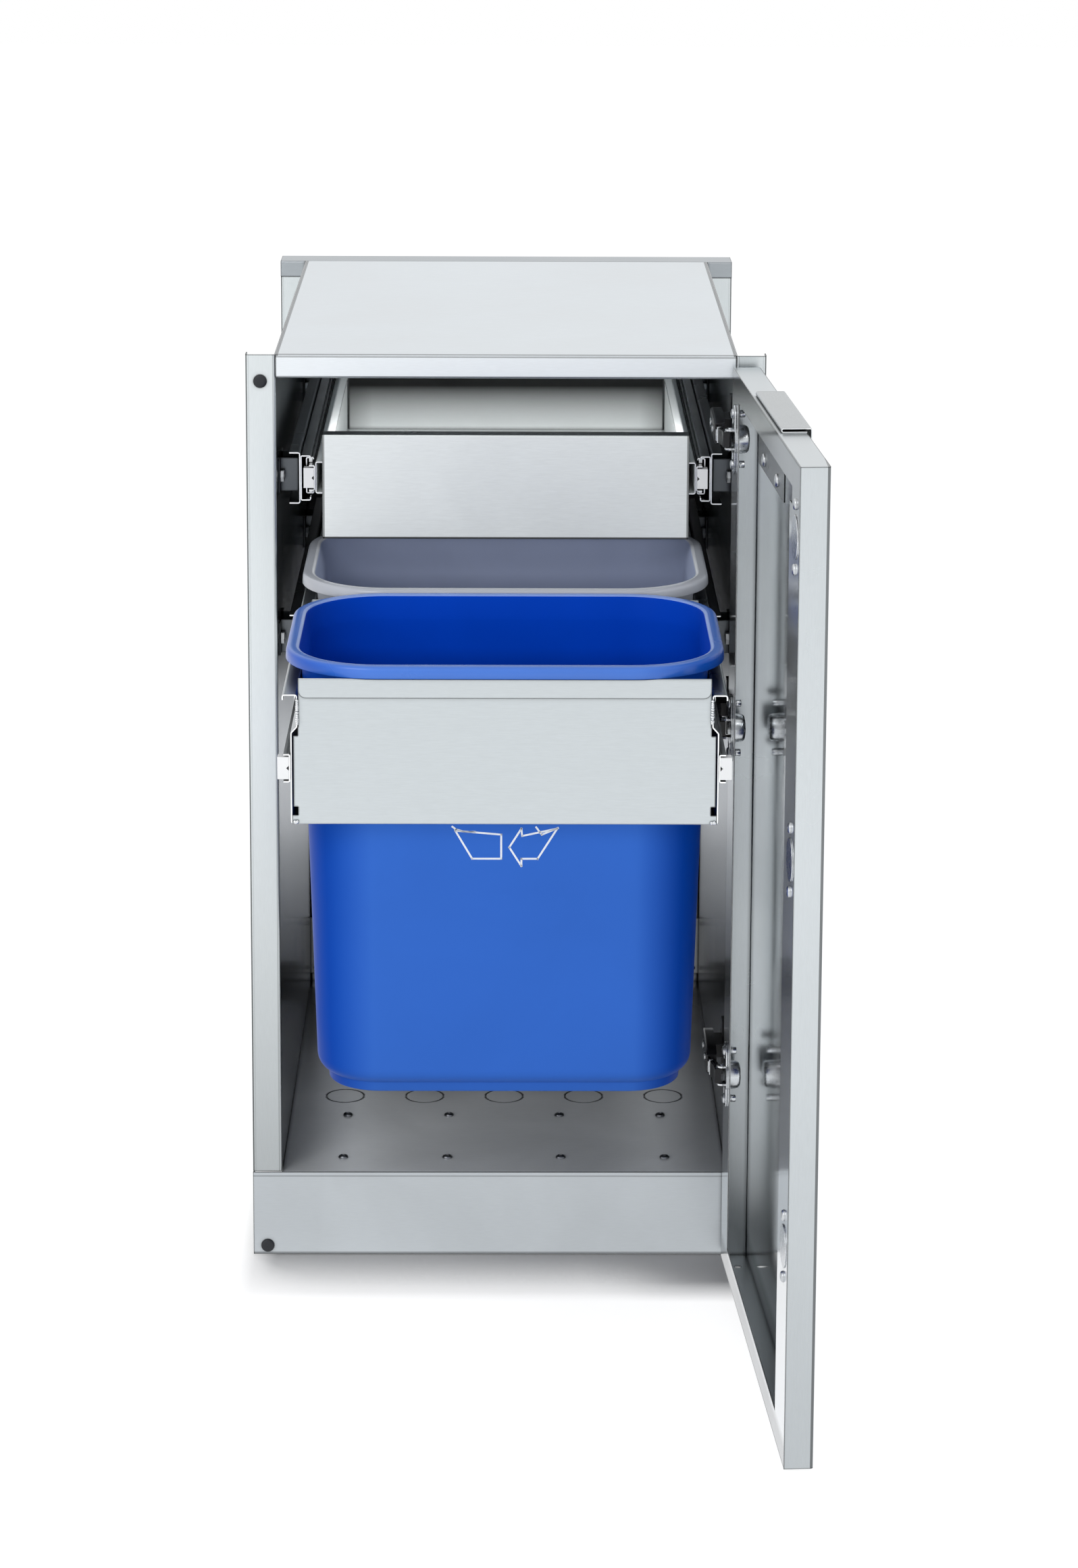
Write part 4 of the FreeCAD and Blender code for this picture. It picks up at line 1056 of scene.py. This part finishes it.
def seen_directly(n):
    """One where the camera sees a surface itself, in a mirror or through glass."""
    path = n.add("LightPath")
    seen = n.math("ADD", path.outputs["Is Camera Ray"], path.outputs["Is Glossy Ray"], clamp=True)
    return n.math("ADD", seen, path.outputs["Is Transmission Ray"], clamp=True)


def backdrop(n, colour, strength):
    """A background of one colour."""
    light = n.add("Background")
    light.inputs["Color"].default_value = rgba(colour)
    light.inputs["Strength"].default_value = strength
    return light.outputs[0]


def make_world():
    """A plain sky that lights the object, and a white one behind it."""
    world = bpy.data.worlds.new("studio")
    world.use_nodes = True
    n = Nodes(world.node_tree)
    world.node_tree.nodes.clear()
    mix = n.add("MixShader")
    n.set(mix.inputs[0], seen_directly(n))
    n.set(mix.inputs[1], backdrop(n, SKY_COLOUR, SKY_STRENGTH))
    n.set(mix.inputs[2], backdrop(n, WHITE, 1.0))
    n.set(n.add("OutputWorld").inputs[0], mix.outputs[0])
    bpy.context.scene.world = world


def make_floor():
    """A pale floor that glows white to the camera, less so near the object, where its shadow stays and a
    painted shadow dims the glow near the base.
    """
    mesh = bpy.data.meshes.new("floor")
    corners = [(x * GROUND_HALF, y * GROUND_HALF, 0) for x, y in ((-1, -1), (1, -1), (1, 1), (-1, 1))]
    mesh.from_pydata(corners, [], [range(4)])
    floor = bpy.data.objects.new("floor", mesh)
    floor.location.z = -GROUND_DROP
    bpy.context.scene.collection.objects.link(floor)
    material, n, shader = new_material("floor")
    n.tree.nodes.remove(shader)
    matt = n.add("BsdfDiffuse")
    matt.inputs["Color"].default_value = rgba(GROUND_GREY)
    glow = n.add("Emission")
    # Painted shadow: the glow dims where the floor is closed in near the base, but not in front of it or
    # beside it
    near = n.math("POWER", n.span(n.crevice(SHADOW_REACH), 0.0, 1.0, *SHADOW_SPAN), SHADOW_CURVE)
    in_front = n.span(n.axis("Y"), GROUND_GLOW, 0.0, *CLEAR_IN_FRONT)
    beside = n.span(n.off_middle("X"), 0.0, GROUND_GLOW, *CLEAR_BESIDE)
    clear = n.math("MAXIMUM", in_front, beside)
    mirrored = n.times(n.add("LightPath").outputs["Is Glossy Ray"], GROUND_GLOW)
    lit = n.math("MAXIMUM", n.span(near, SHADOW_DEPTH, GROUND_GLOW), clear)
    n.set(glow.inputs["Strength"], n.times(seen_directly(n), n.math("MAXIMUM", lit, mirrored)))
    both = n.add("AddShader")
    n.set(both.inputs[0], matt.outputs[0])
    n.set(both.inputs[1], glow.outputs[0])
    n.set(n.tree.nodes["Material Output"].inputs[0], both.outputs[0])
    mesh.materials.append(material)


make_world()
make_floor()
for name, lamp in LAMPS.items():
    add_area(name, **lamp)

bpy.context.scene.view_settings.view_transform = "Standard"
